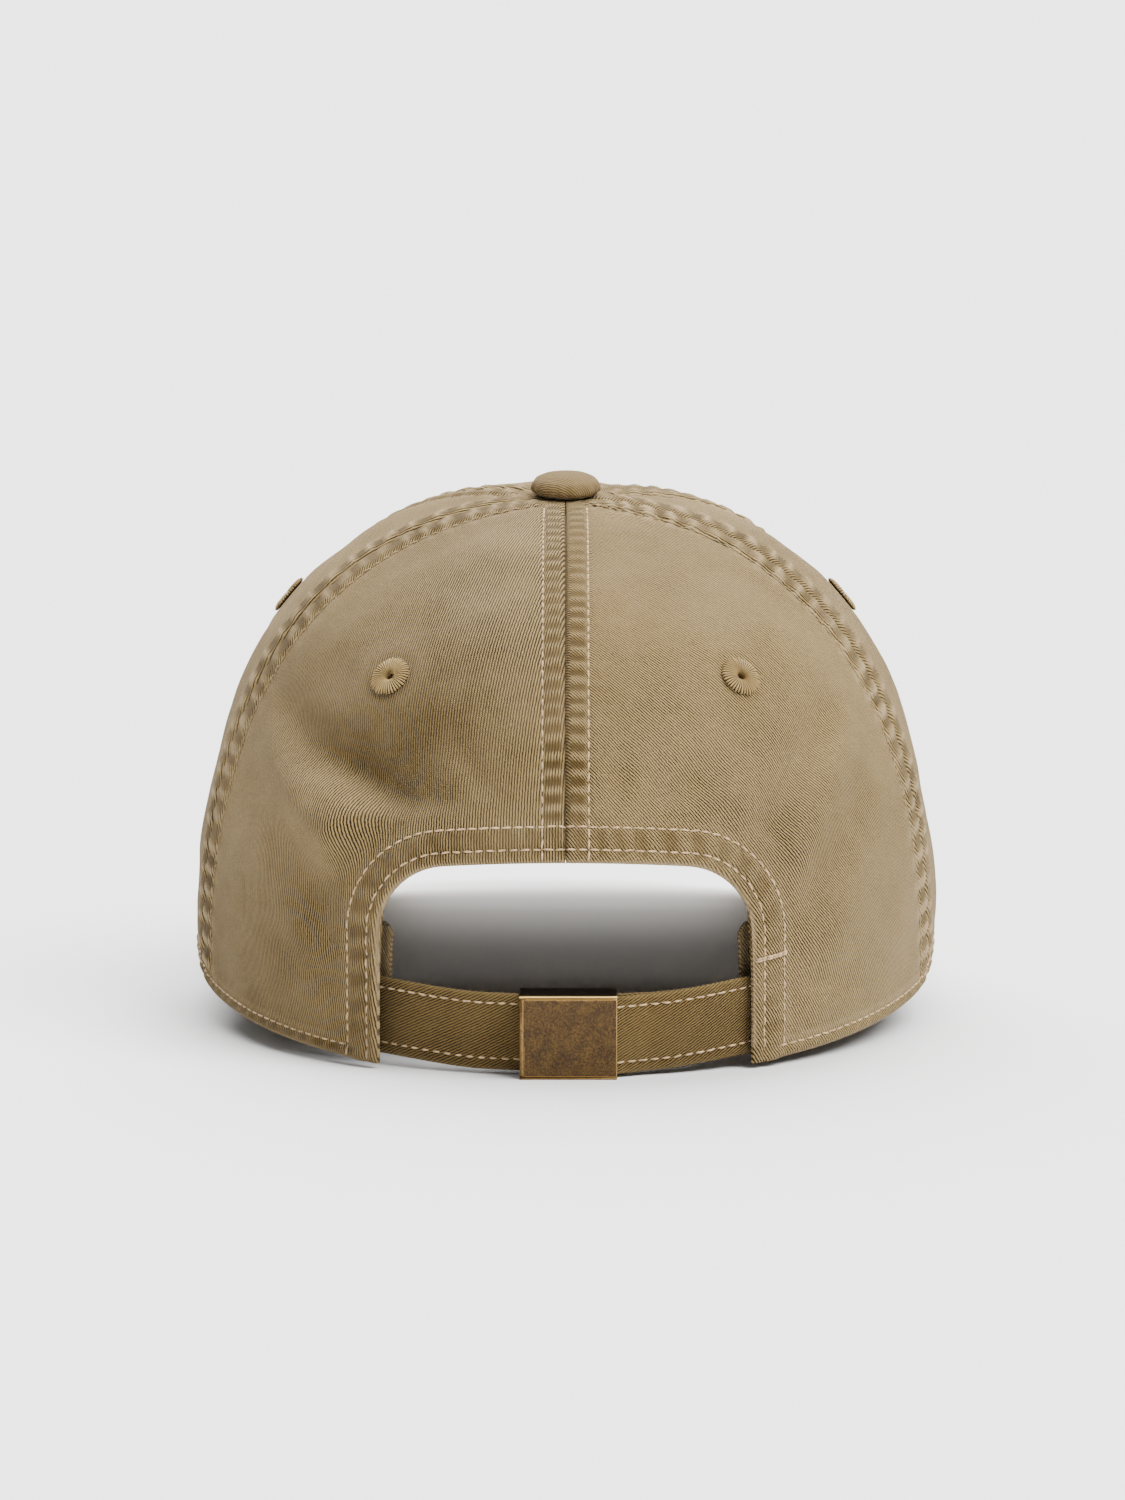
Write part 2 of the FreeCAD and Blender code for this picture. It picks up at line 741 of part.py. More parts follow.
def build_clasp():
    """A brass frame on the short strap, and a cover that swings out on a pin to free the long strap."""
    wide, tall = "clasp_half_width", "clasp_half_height"
    across = ("- " + wide, wide)
    inside = ("- " + tall + " + rail", tall + " - rail")
    depth = ("rail_front", "frame_back")
    bars = ("back_bar_front", "frame_back")
    pin_span = ("- " + tall, tall)
    solids = [
        box("top_rail", across, depth, (tall + " - rail", tall)),
        box("bottom_rail", across, depth, ("- " + tall, "- " + tall + " + rail")),
        box("back_bar_left", ("- " + wide, "- " + wide + " + back_bar_width"), bars, inside),
        box("back_bar_right", (wide + " - back_bar_width", wide), bars, inside),
        cylinder("loop_bar", "loop_bar_radius", "loop_bar_x", "loop_bar_y", inside),
    ]
    whole = boolean("Part::MultiFuse", "frame_solids", *solids)
    pin_hole = cylinder("pin_hole", "pin_radius", "- pin_x", "pin_y", pin_span)
    keep(boolean("Part::Cut", "clasp_frame", whole, pin_hole), "clasp_frame", CLASP)
    low, high = pin_span
    pin = turned("clasp_pin", [("0", low), ("pin_radius", low), ("pin_radius", high), ("0", high)])
    keep(pin, "clasp_pin", CLASP.multiply(placed(0, (-size("pin_x"), size("pin_y"), 0))))

    high = ("- cover_half_height", "cover_half_height")
    jaw_high = ("- jaw_half_height", "jaw_half_height")
    plate = box("cover_plate", ("- pin_x", wide), ("- cover_front", "- cover_front + cover_thick"), high)
    knuckle = cylinder("cover_knuckle", "knuckle_radius", "- pin_x", "pin_y", high)
    jaw = box("cover_jaw", ("- pin_x - 0.35", "- pin_x - 0.35 + jaw_thick"), ("pin_y", "jaw_reach"), jaw_high)
    cover = boolean("Part::MultiFuse", "cover_solids", plate, knuckle, jaw)
    bore = cylinder("cover_bore", "knuckle_hole", "- pin_x", "pin_y", pin_span)
    keep(boolean("Part::Cut", "clasp_cover", cover, bore), "clasp_cover", CLASP)


# ---------------------------------------------------------------- build, check and write

def check_and_write():
    os.makedirs("parts", exist_ok=True)
    for thing in doc.Objects:
        if {"Invalid", "Error"} & set(thing.State):
            raise RuntimeError(f"{thing.Label} failed: {thing.State}")
    for part in parts:
        shape = part.Shape
        if shape.isNull() or not shape.isValid() or not shape.Solids:
            raise RuntimeError(f"{part.Label} has no valid solid")
        shape.exportStep(f"parts/{part.Label}.step")
    boxes = FreeCAD.BoundBox()
    for part in parts:
        boxes.add(part.Shape.BoundBox)
    print(len(parts), "parts;", boxes)


build_panels()
build_tapes()
build_linings()
build_facing()
build_sweatband()
build_button()
build_peak()
build_long_strap()
build_short_strap()
build_clasp()
doc.recompute()
check_and_write()
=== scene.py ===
"""Looks for the six-panel baseball cap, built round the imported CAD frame.

Lengths are in millimetres until a mesh is made. The crown's form is worked out upright, with its
widest point at y = 0, and leaned back with lean(). Azimuth runs round the crown from 0 at the back
through 90 degrees at +X to 180 at the front, and climb runs up it from 0 at the rim to 90 degrees
at the button.
"""

import functools
import itertools
import math

import bmesh
import bpy
import numpy as np
from mathutils import Matrix, Vector


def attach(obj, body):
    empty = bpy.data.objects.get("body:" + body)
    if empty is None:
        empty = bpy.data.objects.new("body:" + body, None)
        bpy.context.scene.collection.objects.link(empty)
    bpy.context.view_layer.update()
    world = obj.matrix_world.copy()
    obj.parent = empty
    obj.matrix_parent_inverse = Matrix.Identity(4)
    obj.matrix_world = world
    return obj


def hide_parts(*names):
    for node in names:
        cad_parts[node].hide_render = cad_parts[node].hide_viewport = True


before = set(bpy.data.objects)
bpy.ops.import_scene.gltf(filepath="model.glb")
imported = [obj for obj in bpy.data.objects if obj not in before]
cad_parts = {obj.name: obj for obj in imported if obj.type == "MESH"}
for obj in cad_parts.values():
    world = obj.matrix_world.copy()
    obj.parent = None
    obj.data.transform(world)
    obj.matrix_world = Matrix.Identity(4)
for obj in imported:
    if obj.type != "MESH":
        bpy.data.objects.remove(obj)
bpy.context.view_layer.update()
RNG = np.random.default_rng(7)
PI = math.pi

HALF_WIDTH, BACK, FRONT, TALL, FORWARD = 86.8, 100.0, 104.0, 108.8, 8.0
FULL_BACK, FULL_SIDE, FULL_FRONT = 2.24, 2.52, 2.44
PIVOT, SHIFT, LIFT, LEAN = 87.7, -35.3, 1.14, math.radians(6.78)
REAR_SEAM, FRONT_SEAM, TOP_CLIMB = math.radians(75.5), math.radians(124.0), math.radians(88.2)
ARCH = (41.8, 47.7, 190.0, 17.0)
PEAK = (84.0, 172.0, 120.0, 52.0)
PEAK_ROLL, PEAK_SLOPE, PEAK_CREST, PEAK_HEEL, PEAK_SINK = 200.0, math.radians(13.4), 1.6, 24.0, 0.6
CLOTH, TAPE_HALF = 1.0, 6.0
THREAD_PITCH = 2.6
# Rows of stitching, each by its distance from the edge or seam that it follows.
SEAM_ROW, RIM_ROW, HEM_ROWS, BAND_ROW = 4.7, 2.9, (2.7, 7.3), 3.0
STRAP_TOP_ROW, STRAP_LOW_ROW, STRAP_STITCH = 2.3, 2.6, (2.7, 2.2, 0.24)
ASIDE, STRAP_AXIS, WALL, STRAP_MIDDLE = 0.6, 24.55, 76.4, 9.5
STRAP_LEAN, STRAP_HALF, STRAP_OUT, STRAP_TURN = math.radians(4.0), 8.75, 72.25, math.radians(49.5)
SHORT_OUT, SHORT_SPLIT = 74.0, math.radians(14.0)
CLASP_HALF, CLASP_FACE, CLASP_REAR, RAIL_IN, RAIL_OUT, PLATE_HALF = 10.8, -0.35, 7.4, 9.05, 9.5, 8.9


# ---------------------------------------------------------------- small helpers

def smooth(value, low, high):
    share = np.clip((value - low) / (high - low), 0, 1)
    return share * share * (3 - 2 * share)


def bump(value, centre, width):
    return np.exp(-(((value - centre) / width) ** 2))


def noise(points, scale, seed=0):
    """Smooth noise from -1 to 1 at points, given as an array of threes."""
    q = np.asarray(points, float) / scale + 31.7 * seed
    cell = np.floor(q)
    f = q - cell
    f = f * f * (3 - 2 * f)
    total = 0
    for corner in itertools.product((0, 1), repeat=3):
        value = np.sin((cell + corner) @ (127.1, 311.7, 74.7)) * 43758.5453
        weight = np.prod(np.where(np.array(corner) == 1, f, 1 - f), axis=-1)
        total = total + weight * (value - np.floor(value))
    return 2 * total - 1


def line_noise(value, scale, seed=0):
    value = np.asarray(value, float)
    return noise(vec(value, 3.1, 7.7), scale, seed)


def graded(count, fine=0.6):
    """Shares from 0 to 1, closer together at both ends."""
    t = np.linspace(0, 1, count)
    return t - fine * np.sin(2 * PI * t) / (2 * PI)


def graded_low(count, fine=0.5):
    """Shares from 0 to 1, closer together at the start."""
    t = np.linspace(0, 1, count)
    return t - fine * np.sin(PI * t) / PI


def unit(v):
    return v / np.maximum(np.linalg.norm(v, axis=-1, keepdims=True), 1e-9)


def vec(x, y, z=0.0):
    """Points from their coordinates, each an array or a number."""
    return np.stack(np.broadcast_arrays(x, y, z), -1)


def path_steps(path):
    """Distance along a path at each of its points."""
    return np.concatenate([[0], np.cumsum(np.linalg.norm(np.diff(path, axis=0), axis=1))])


def resample(path, steps, place):
    """The points of a path at given distances along it."""
    return np.stack([np.interp(place, steps, column) for column in path.T], -1)


def from_axis(p):
    """Distance from the crown's upright middle line."""
    return np.hypot(p[..., 0], p[..., 1] - FORWARD)


# ---------------------------------------------------------------- the crown's form

def rim_xy(az):
    length = (BACK + FRONT) / 2 + (BACK - FRONT) / 2 * np.cos(az)
    return HALF_WIDTH * np.sin(az), -length * np.cos(az)


def peak_z(x, y):
    drop = (PEAK_ROLL - np.sqrt(PEAK_ROLL ** 2 - x ** 2)) / math.cos(PEAK_SLOPE)
    return PEAK_CREST - (y - FRONT) * math.tan(PEAK_SLOPE) - drop


def rim_z(az):
    turn = np.abs((az + PI) % (2 * PI) - PI)
    return smooth(turn, math.radians(70), math.radians(104)) * peak_z(*rim_xy(az))


def outer(az, climb):
    c = np.cos(az)
    ends = (FULL_BACK + FULL_FRONT) / 2
    power = FULL_SIDE + (FULL_BACK - FULL_FRONT) / 2 * c + (ends - FULL_SIDE) * c ** 2
    across, up = np.cos(climb), np.sin(climb)
    reach = (np.abs(across) ** power + np.abs(up) ** power) ** (-1 / power)
    x, y = rim_xy(az)
    low = rim_z(az)
    out = across * reach
    return vec(x * out, FORWARD * (1 - out) + y * out, low + (TALL - low) * up * reach)


def tangents(az, climb):
    step = 1e-4
    along = (outer(az + step, climb) - outer(az - step, climb)) / (2 * step)
    upward = (outer(az, climb + step) - outer(az, climb - step)) / (2 * step)
    return along, upward


def crown(az, climb, depth=0.0):
    """Points at a depth below the crown's outer face, and the outward direction there."""
    along, upward = tangents(az, climb)
    outward = unit(np.cross(along, upward))
    return outer(az, climb) - outward * np.asarray(depth)[..., None], outward


def lean(points):
    """From the crown's own frame to the frame of the cap on the table."""
    p = np.asarray(points, float)
    y = p[..., 1] + PIVOT
    z = p[..., 2]
    across, rising = math.cos(LEAN), math.sin(LEAN)
    return vec(p[..., 0], y * across - z * rising - PIVOT + SHIFT, y * rising + z * across + LIFT)


def lean_direction(v):
    return lean(v) - lean(np.zeros(3))


CLIMBS = np.linspace(0, PI / 2, 181)


def arc_length(az, climb):
    """Distance up the crown from the rim, measured along the outer face at the given azimuth."""
    lengths = []
    for side in np.radians(np.arange(0, 181, 15)):
        path = outer(np.full_like(CLIMBS, side), CLIMBS)
        lengths.append(path_steps(path))
    lengths = np.array(lengths)
    turn = np.abs((az + PI) % (2 * PI) - PI) / math.radians(15)
    low = np.minimum(turn.astype(int), 11)
    share = turn - low
    place = np.clip(climb, 0, PI / 2) / (PI / 2) * 180
    step = np.minimum(place.astype(int), 179)
    part = place - step
    rows = [(1 - part) * lengths[low + k, step] + part * lengths[low + k, step + 1] for k in (0, 1)]
    return (1 - share) * rows[0] + share * rows[1]


def find_on_back(x, z):
    """Azimuth and climb of the point of the back's outer face that has the given x and z."""
    az = np.arcsin(np.clip(x / HALF_WIDTH, -0.999, 0.999))
    climb = np.full_like(az, 0.2)
    for _ in range(60):
        p = outer(az, climb)
        along, upward = tangents(az, climb)
        dx, dz = x - p[..., 0], z - p[..., 2]
        det = along[..., 0] * upward[..., 2] - along[..., 2] * upward[..., 0]
        az = az + 0.7 * (dx * upward[..., 2] - dz * upward[..., 0]) / det
        climb = climb + 0.7 * (dz * along[..., 0] - dx * along[..., 2]) / det
    return az, climb


# ---------------------------------------------------------------- outlines with a bowed top

def bowed_parts(shape):
    half, top, bow, corner = shape
    side = half - corner
    rise = math.sqrt((bow - corner) ** 2 - side ** 2)
    return half, bow, corner, side, top - bow + rise, top - bow, math.atan2(rise, side)


def bowed_inside(x, y, shape):
    """How far inside the outline a point is, and how far along the outline from its middle."""
    half, bow, corner, side, corner_up, bow_up, turn = bowed_parts(shape)
    ax = np.abs(x)
    angle_bow = np.arctan2(y - bow_up, ax)
    angle_corner = np.clip(np.arctan2(y - corner_up, ax - side), 0, turn)
    in_bow = angle_bow > turn
    in_side = y < corner_up
    in_corner = corner - np.hypot(ax - side, y - corner_up)
    in_top = np.where(in_bow, bow - np.hypot(ax, y - bow_up), in_corner)
    gap = np.where(in_side, half - ax, in_top)
    bow_length = bow * (PI / 2 - turn)
    along = np.where(
        in_side,
        bow_length + corner * turn + corner_up - y,
        np.where(in_bow, bow * (PI / 2 - angle_bow), bow_length + corner * (turn - angle_corner)),
    )
    return gap, np.sign(x) * along


def bowed_path(shape, foot, grow=0.0, step=0.6):
    """Points from the foot at -x, over the top, to the foot at +x."""
    grown = [value + grow for value in shape]
    half, bow, corner, side, corner_up, bow_up, turn = bowed_parts(grown)
    up = np.linspace(foot, corner_up, max(2, int((corner_up - foot) / step)))[:-1]
    right = [np.stack([up * 0 + half, up], -1)]
    angle = np.linspace(0, turn, max(3, int(corner * turn / step)))[:-1]
    right.append(np.stack([side + corner * np.cos(angle), corner_up + corner * np.sin(angle)], -1))
    angle = np.linspace(turn, PI / 2, max(3, int(bow * (PI / 2 - turn) / step)))
    right.append(np.stack([bow * np.cos(angle), bow_up + bow * np.sin(angle)], -1))
    right = np.concatenate(right)
    return np.concatenate([right * (-1, 1), right[::-1][1:]])


# ---------------------------------------------------------------- relief of the crown's cloth

SEAMS = {
    # the pucker's strength, its seed, its stagger between the two sides, fading, width and length
    0.0: (0.65, 0, 0.5, 0.55, 1.09, 4.0),
    REAR_SEAM: (0.85, 1, 1.57, 1.4, 1.4, 5.8),
    -REAR_SEAM: (0.85, 2, 1.57, 1.4, 1.4, 5.8),
    FRONT_SEAM: (0.8, 3, 1.2, 1.0, 1.2, 5.4),
    -FRONT_SEAM: (0.8, 4, 1.2, 1.0, 1.2, 5.4),
    PI: (0.7, 5, 0.6, 0.6, 1.09, 4.2),
}
EYELETS = {
    "eyelet_back_right": (0.5 * REAR_SEAM, math.radians(45.25)),
    "eyelet_back_left": (-0.5 * REAR_SEAM, math.radians(45.25)),
    "eyelet_side_right": ((REAR_SEAM + FRONT_SEAM) / 2, math.radians(45)),
    "eyelet_side_left": (-(REAR_SEAM + FRONT_SEAM) / 2, math.radians(45)),
    "eyelet_front_right": ((PI + FRONT_SEAM) / 2, math.radians(45)),
    "eyelet_front_left": (-(PI + FRONT_SEAM) / 2, math.radians(45)),
}


def wrap(angle):
    return (angle + PI) % (2 * PI) - PI


def seam_relief(d, s, strength, seed, stagger, bleach, period):
    """Height and fading of the cloth beside a felled seam: d from the seam, s along it; painted
    shade darkens its groove and hollows.
    """
    side = np.sign(d)
    d = np.abs(d)
    phase = 1.5 * line_noise(s + 90 * side, 9, seed + 10) + stagger * side
    ripple = np.sin(2 * PI * (s / period + 0.03 * d) + phase)
    fine = np.sin(2 * PI * s / THREAD_PITCH + side)
    patchy = 0.75 + 0.5 * line_noise(s + 50 * side, 17, seed + 20)
    band = smooth(d, 0.3, 1.3) * (1 - smooth(d, 3.7, 4.8))
    beyond = smooth(d, 4.4, 5.6) * np.exp(-np.maximum(d - 5, 0) / 4.5)
    groove = 0.6 - 0.35 * smooth(bleach, 0.6, 1.0)
    height = 0.55 * band - groove * np.exp(-((d / 0.32) ** 2)) - 0.36 * bump(d, SEAM_ROW, 0.6)
    height = height + strength * patchy * ripple * (0.46 * band + 0.20 * beyond)
    height = height + 0.07 * fine * bump(d, SEAM_ROW, 1.0)
    on_band = 1.1 * band * smooth(ripple, 0.15, 0.95)
    past_it = 0.55 * bump(d, 5.6, 1.5) * smooth(ripple, -0.7, 0.9)
    fade_and_shade = bleach * patchy * (on_band + past_it)
    # Painted shade: darker in the hollows between the puckers and in the seam's groove.
    painted_shade = band * (0.35 + 0.75 * patchy * smooth(-ripple, -0.45, 0.6))
    painted_shade = painted_shade + groove * np.exp(-((d / 0.5) ** 2))
    return height, fade_and_shade - painted_shade * (1 - smooth(fade_and_shade, 0.1, 0.5))


def hem_relief(d, s, rows, depth, seed):
    """Height and fading of a turned hem: d from the folded edge, s along it; painted shade darkens
    its ripple's hollows.
    """
    last = rows[-1]
    phase = 2.0 * line_noise(s, 12, seed)
    ripple = np.sin(2 * PI * (s / 5.0 + 0.05 * d) + phase)
    patchy = 0.75 + 0.5 * line_noise(s, 19, seed + 3)
    inside = smooth(d, 0.9, 1.7) * (1 - smooth(d, last - 0.9, last + 0.1))
    height = depth * (1 - smooth(d, last - 0.2, last + 1.2)) - 0.55 * np.exp(-((d / 0.7) ** 2))
    for row in rows:
        height = height - 0.40 * bump(d, row, 0.6)
    height = height + 0.21 * patchy * ripple * inside + 0.10 * ripple * bump(d, last + 2.5, 1.8)
    fade_and_shade = 1.5 * patchy * np.exp(-((d / 0.6) ** 2))
    fade_and_shade = fade_and_shade + patchy * 0.4 * inside * smooth(ripple, 0.0, 0.95)
    fade_and_shade = fade_and_shade + 0.35 * patchy * bump(d, last + 1.4, 1.0)
    # The band inside the rows is made a little darker, and the ripple's hollows darker still, as
    # painted shade.
    return height, fade_and_shade - 0.3 * inside - 0.4 * patchy * inside * smooth(-ripple, -0.3, 0.8)


CREASES = (
    # x and z of both ends on the back, then depth, width and the size of the roll below
    (-74, 74, -46, 60, 2.6, 6.0, 1.5),
    (-46, 60, -12, 51, 2.9, 6.5, 1.6),
    (-79, 50, -52, 33, 1.6, 7.0, 1.0),
    (8, 50, 30, 62, 1.9, 5.5, 1.0),
    (42, 44, 56, 68, 1.7, 5.0, 1.2),
    (50, 32, 76, 50, 1.5, 6.5, 0.9),
    (9, 50, 12, 68, 0.9, 2.6, 0.7),
    (-9, 52, -22, 68, 0.9, 3.0, 0.7),
    (-40, 46, -54, 53, 1.0, 3.0, 0.6),
    (44, 20, 62, 12, 1.0, 4.0, 0.7),
    (-48, 14, -66, 22, 1.0, 4.5, 0.7),
)


def creases(p):
    """Soft folds across the two back panels."""
    x, z = p[..., 0], p[..., 2]
    height = np.zeros(x.shape)
    bend = 2.5 * noise(p, 26, 81)
    for x0, z0, x1, z1, depth, width, roll in CREASES:
        length = math.hypot(x1 - x0, z1 - z0)
        ux, uz = (x1 - x0) / length, (z1 - z0) / length
        if ux < 0:
            x0, z0, ux, uz = x1, z1, -ux, -uz
        along = (x - x0) * ux + (z - z0) * uz
        across = (z - z0) * ux - (x - x0) * uz + bend
        reach = np.clip(along, 0, length)
        ends = np.exp(-(((along - reach) / (1.6 * width)) ** 2))
        height = height - depth * ends * bump(across, 0, width)
        height = height + roll * depth * ends * bump(across, -1.7 * width, 1.2 * width)
    return height * (1 - smooth(np.abs(x), 58, 72)) * (p[..., 1] < 10)


def relief(az, climb):
    """Height of the crown's outer cloth above the smooth form, and its fading, with painted light
    and shade added in.
    """
    p = outer(az, climb)
    along, _ = tangents(az, climb)
    per_turn = np.linalg.norm(along, axis=-1)
    s = arc_length(az, climb)
    to_top = from_axis(p)
    fade_top = smooth(to_top, 5, 15)
    height = np.zeros(az.shape)
    fade_and_shade = np.zeros(az.shape)
    nearest = np.full(az.shape, 99.0)
    for seam, (strength, seed, stagger, bleach, width, period) in SEAMS.items():
        d = wrap(az - seam) * per_turn / width
        near = np.abs(d) < 26
        h, w = seam_relief(d, s, strength * 0.85, seed, stagger, bleach, period)
        height = height + np.where(near, h * fade_top, 0)
        fade_and_shade = fade_and_shade + np.where(near, w * fade_top, 0)
        nearest = np.minimum(nearest, np.abs(d) * width)
    height = height * (0.2 + 0.8 * smooth(s, 0, 7))
    at_back = p[..., 1] < 0
    arch, arch_s = bowed_inside(p[..., 0], p[..., 2], ARCH)
    arch = np.where(at_back, -arch * (1 + 0.10 * smooth(np.abs(p[..., 0]), 20, 45)), 99.0)
    h, w = hem_relief(arch, arch_s, HEM_ROWS, 0.55, 21)
    height = height * smooth(arch, -1, 8) + h * (arch < 40)
    fade_and_shade = np.where(arch < 10, w + fade_and_shade * smooth(arch, 6.5, 9.5), fade_and_shade)
    h, w = hem_relief(s, az * 95, (RIM_ROW,), 0.30, 22)
    clear = smooth(arch, 2, 8)
    height = height + h * clear
    fade_and_shade = np.where(s < 5, fade_and_shade * smooth(s, 3, 5) + w * clear, fade_and_shade)
    nearest = np.minimum(np.minimum(nearest, arch), s + 3)
    calm = smooth(nearest, 2, 16)
    waves = 1.1 * noise(p * (1, 1, 1.5), 34, 3) + 0.5 * noise(p * (0.8, 1, 1.6), 15, 4) - 0.4
    height = height + calm * waves
    height = height + 0.12 * smooth(nearest, 5, 10) * noise(p, 5, 5)
    height = height + smooth(nearest, 5, 14) * smooth(arch, 9, 17) * creases(p)
    for az0, climb0 in EYELETS.values():
        q = outer(np.array(az0), np.array(climb0))
        r = np.linalg.norm(p - q, axis=-1)
        flat = 1 - smooth(r, 4.5, 13)
        height = height * (1 - flat) - 0.25 * bump(r, 5.2, 1.3)
    lined = smooth(p[..., 1], -5, 25)
    height = height + lined * (np.maximum(height, -0.75) - height)
    # The front is lighter. The lower right is painted lighter and the lower left painted darker, as
    # light and shade from the right; a painted shadow of the creases darkens the left back panel
    # above the arch.
    side, low = p[..., 0], 1 - smooth(p[..., 2], 15, 60)
    front = 0.45 * smooth(p[..., 1], -10, 40)
    painted_side_light = low * (0.35 * smooth(side, 25, 70) - 0.30 * smooth(-side, 20, 55)) * (1 - front)
    painted_crease_shade = 0.8 * at_back * bump(side, -34, 27) * bump(p[..., 2], 73, 18)
    return height, np.clip(fade_and_shade + front + painted_side_light - painted_crease_shade, -1.2, 1.5)


# ---------------------------------------------------------------- meshes

def new_object(name, points, faces, weave=None, wear_and_painted_light=None):
    """A mesh object from points in millimetres on the table, with its weave, and its rubbing and
    fading with painted light and shade.
    """
    mesh = bpy.data.meshes.new(name)
    points = np.asarray(points, float).reshape(-1, 3)
    mesh.from_pydata((points / 1000).tolist(), [], faces)
    if weave is not None:
        layer = mesh.attributes.new("weave", "FLOAT_VECTOR", "POINT")
        layer.data.foreach_set("vector", np.asarray(weave, np.float32).reshape(-1))
    if wear_and_painted_light is not None:
        layer = mesh.attributes.new("wear_and_painted_light", "FLOAT", "POINT")
        layer.data.foreach_set("value", np.asarray(wear_and_painted_light, np.float32).reshape(-1))
    work = bmesh.new()
    work.from_mesh(mesh)
    bmesh.ops.recalc_face_normals(work, faces=work.faces)
    work.to_mesh(mesh)
    work.free()
    mesh.polygons.foreach_set("use_smooth", [True] * len(mesh.polygons))
    mesh.update()
    obj = bpy.data.objects.new(name, mesh)
    bpy.context.collection.objects.link(obj)
    return obj


def finish_piece(obj, body, material, slot, *nodes):
    obj.data.materials.append(material)
    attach(obj, body)
    if nodes:
        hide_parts(*nodes)
    return obj


def grid_faces(n, m, start=0, skip=None, closed=False):
    faces = []
    for i in range(n if closed else n - 1):
        k = (i + 1) % n
        for j in range(m - 1):
            if skip != (i, j):
                here, there = start + i * m + j, start + k * m + j
                faces.append((here, there, there + 1, here + 1))
    return faces


def shell(name, top, bottom, weave, wear_and_painted_light, hole=None):
    """A closed skin between two grids of points, with an optional square hole at one cell."""
    n, m = top.shape[:2]
    count = n * m
    faces = grid_faces(n, m, 0, hole) + [f[::-1] for f in grid_faces(n, m, count, hole)]
    loop = [i * m for i in range(n)] + [(n - 1) * m + j for j in range(1, m)]
    loop += [i * m + m - 1 for i in range(n - 2, -1, -1)] + list(range(m - 2, 0, -1))
    loops = [loop]
    if hole:
        i, j = hole
        loops.append([i * m + j, i * m + j + 1, (i + 1) * m + j + 1, (i + 1) * m + j])
    for ring in loops:
        for a, b in zip(ring, ring[1:] + ring[:1]):
            faces.append((a, b, b + count, a + count))
    points = np.concatenate([top.reshape(-1, 3), bottom.reshape(-1, 3)])
    weave = np.concatenate([weave.reshape(-1, 3)] * 2)
    wear_and_painted_light = np.concatenate([wear_and_painted_light.ravel(), wear_and_painted_light.ravel() * 0.5])
    return new_object(name, points, faces, weave, wear_and_painted_light)


def cloth(name, top, bottom, weave, wear_and_painted_light, material, slot, node, body="crown", hole=None):
    """A piece of cloth between two grids of points, in place of a CAD node."""
    finish_piece(shell(name, top, bottom, weave, wear_and_painted_light, hole), body, material, slot, node)


def grid_normals(points):
    return unit(np.cross(np.gradient(points, axis=0), np.gradient(points, axis=1)))


def edge_round(spacing_u, spacing_v, thick):
    """How far the outer face dips at the edges of a grid, from the distances between its lines."""
    u = np.minimum(spacing_u, spacing_u[-1] - spacing_u)
    v = np.minimum(spacing_v, spacing_v[-1] - spacing_v)
    edge = np.minimum(u[:, None], v[None, :])
    return 0.5 * thick * np.exp(-edge / (0.35 * thick))


def turn_weave(x, y, degrees):
    a = math.radians(degrees)
    return vec(x * math.cos(a) + y * math.sin(a), y * math.cos(a) - x * math.sin(a))


def stitches(name, paths, pitch=THREAD_PITCH, length=2.35, radius=0.24, body="crown", thread=None):
    """Raised stitches along paths, each an array of points and one of outward directions."""
    rings, sides = 5, 6
    along = np.linspace(-1, 1, rings)
    girth = np.sqrt(np.clip(1.08 - along ** 2, 0, 1))
    angle = np.arange(sides) * 2 * PI / sides
    all_points, faces, base = [], [], 0
    for points, outward in paths:
        steps = path_steps(points)
        for centre in np.arange(pitch / 2, steps[-1] - pitch / 2, pitch):
            before, at, after = (resample(points, steps, centre + e) for e in (-0.5, 0, 0.5))
            out = unit(resample(outward, steps, centre))
            tangent = unit(after - before)
            across = unit(np.cross(out, tangent))
            tangent = unit(tangent + across * RNG.normal(0, 0.06))
            across = unit(np.cross(out, tangent))
            size = length * (1 + RNG.normal(0, 0.05)) / 2
            spine = at + tangent * (along * size)[:, None]
            spine = spine + out * (0.20 - 0.32 * along ** 2)[:, None]
            ring = across * np.cos(angle)[:, None] + out * 0.8 * np.sin(angle)[:, None]
            surface = spine[:, None, :] + ring[None] * (radius * girth)[:, None, None]
            all_points.append(surface.reshape(-1, 3))
            for r in range(rings - 1):
                low, high = base + r * sides, base + (r + 1) * sides
                for q in range(sides):
                    t = (q + 1) % sides
                    faces.append((low + q, low + t, high + t, high + q))
            faces.append(tuple(base + q for q in range(sides))[::-1])
            faces.append(tuple(base + (rings - 1) * sides + q for q in range(sides)))
            base += rings * sides
    obj = new_object(name, np.concatenate(all_points), faces)
    finish_piece(obj, body, thread or PALE_THREAD, "embroidery")


# ---------------------------------------------------------------- materials

def srgb(r, g, b):
    """A colour in linear light from its values of 0 to 255."""
    linear = [c / 255 / 12.92 if c <= 10 else ((c / 255 + 0.055) / 1.055) ** 2.4 for c in (r, g, b)]
    return (*linear, 1.0)


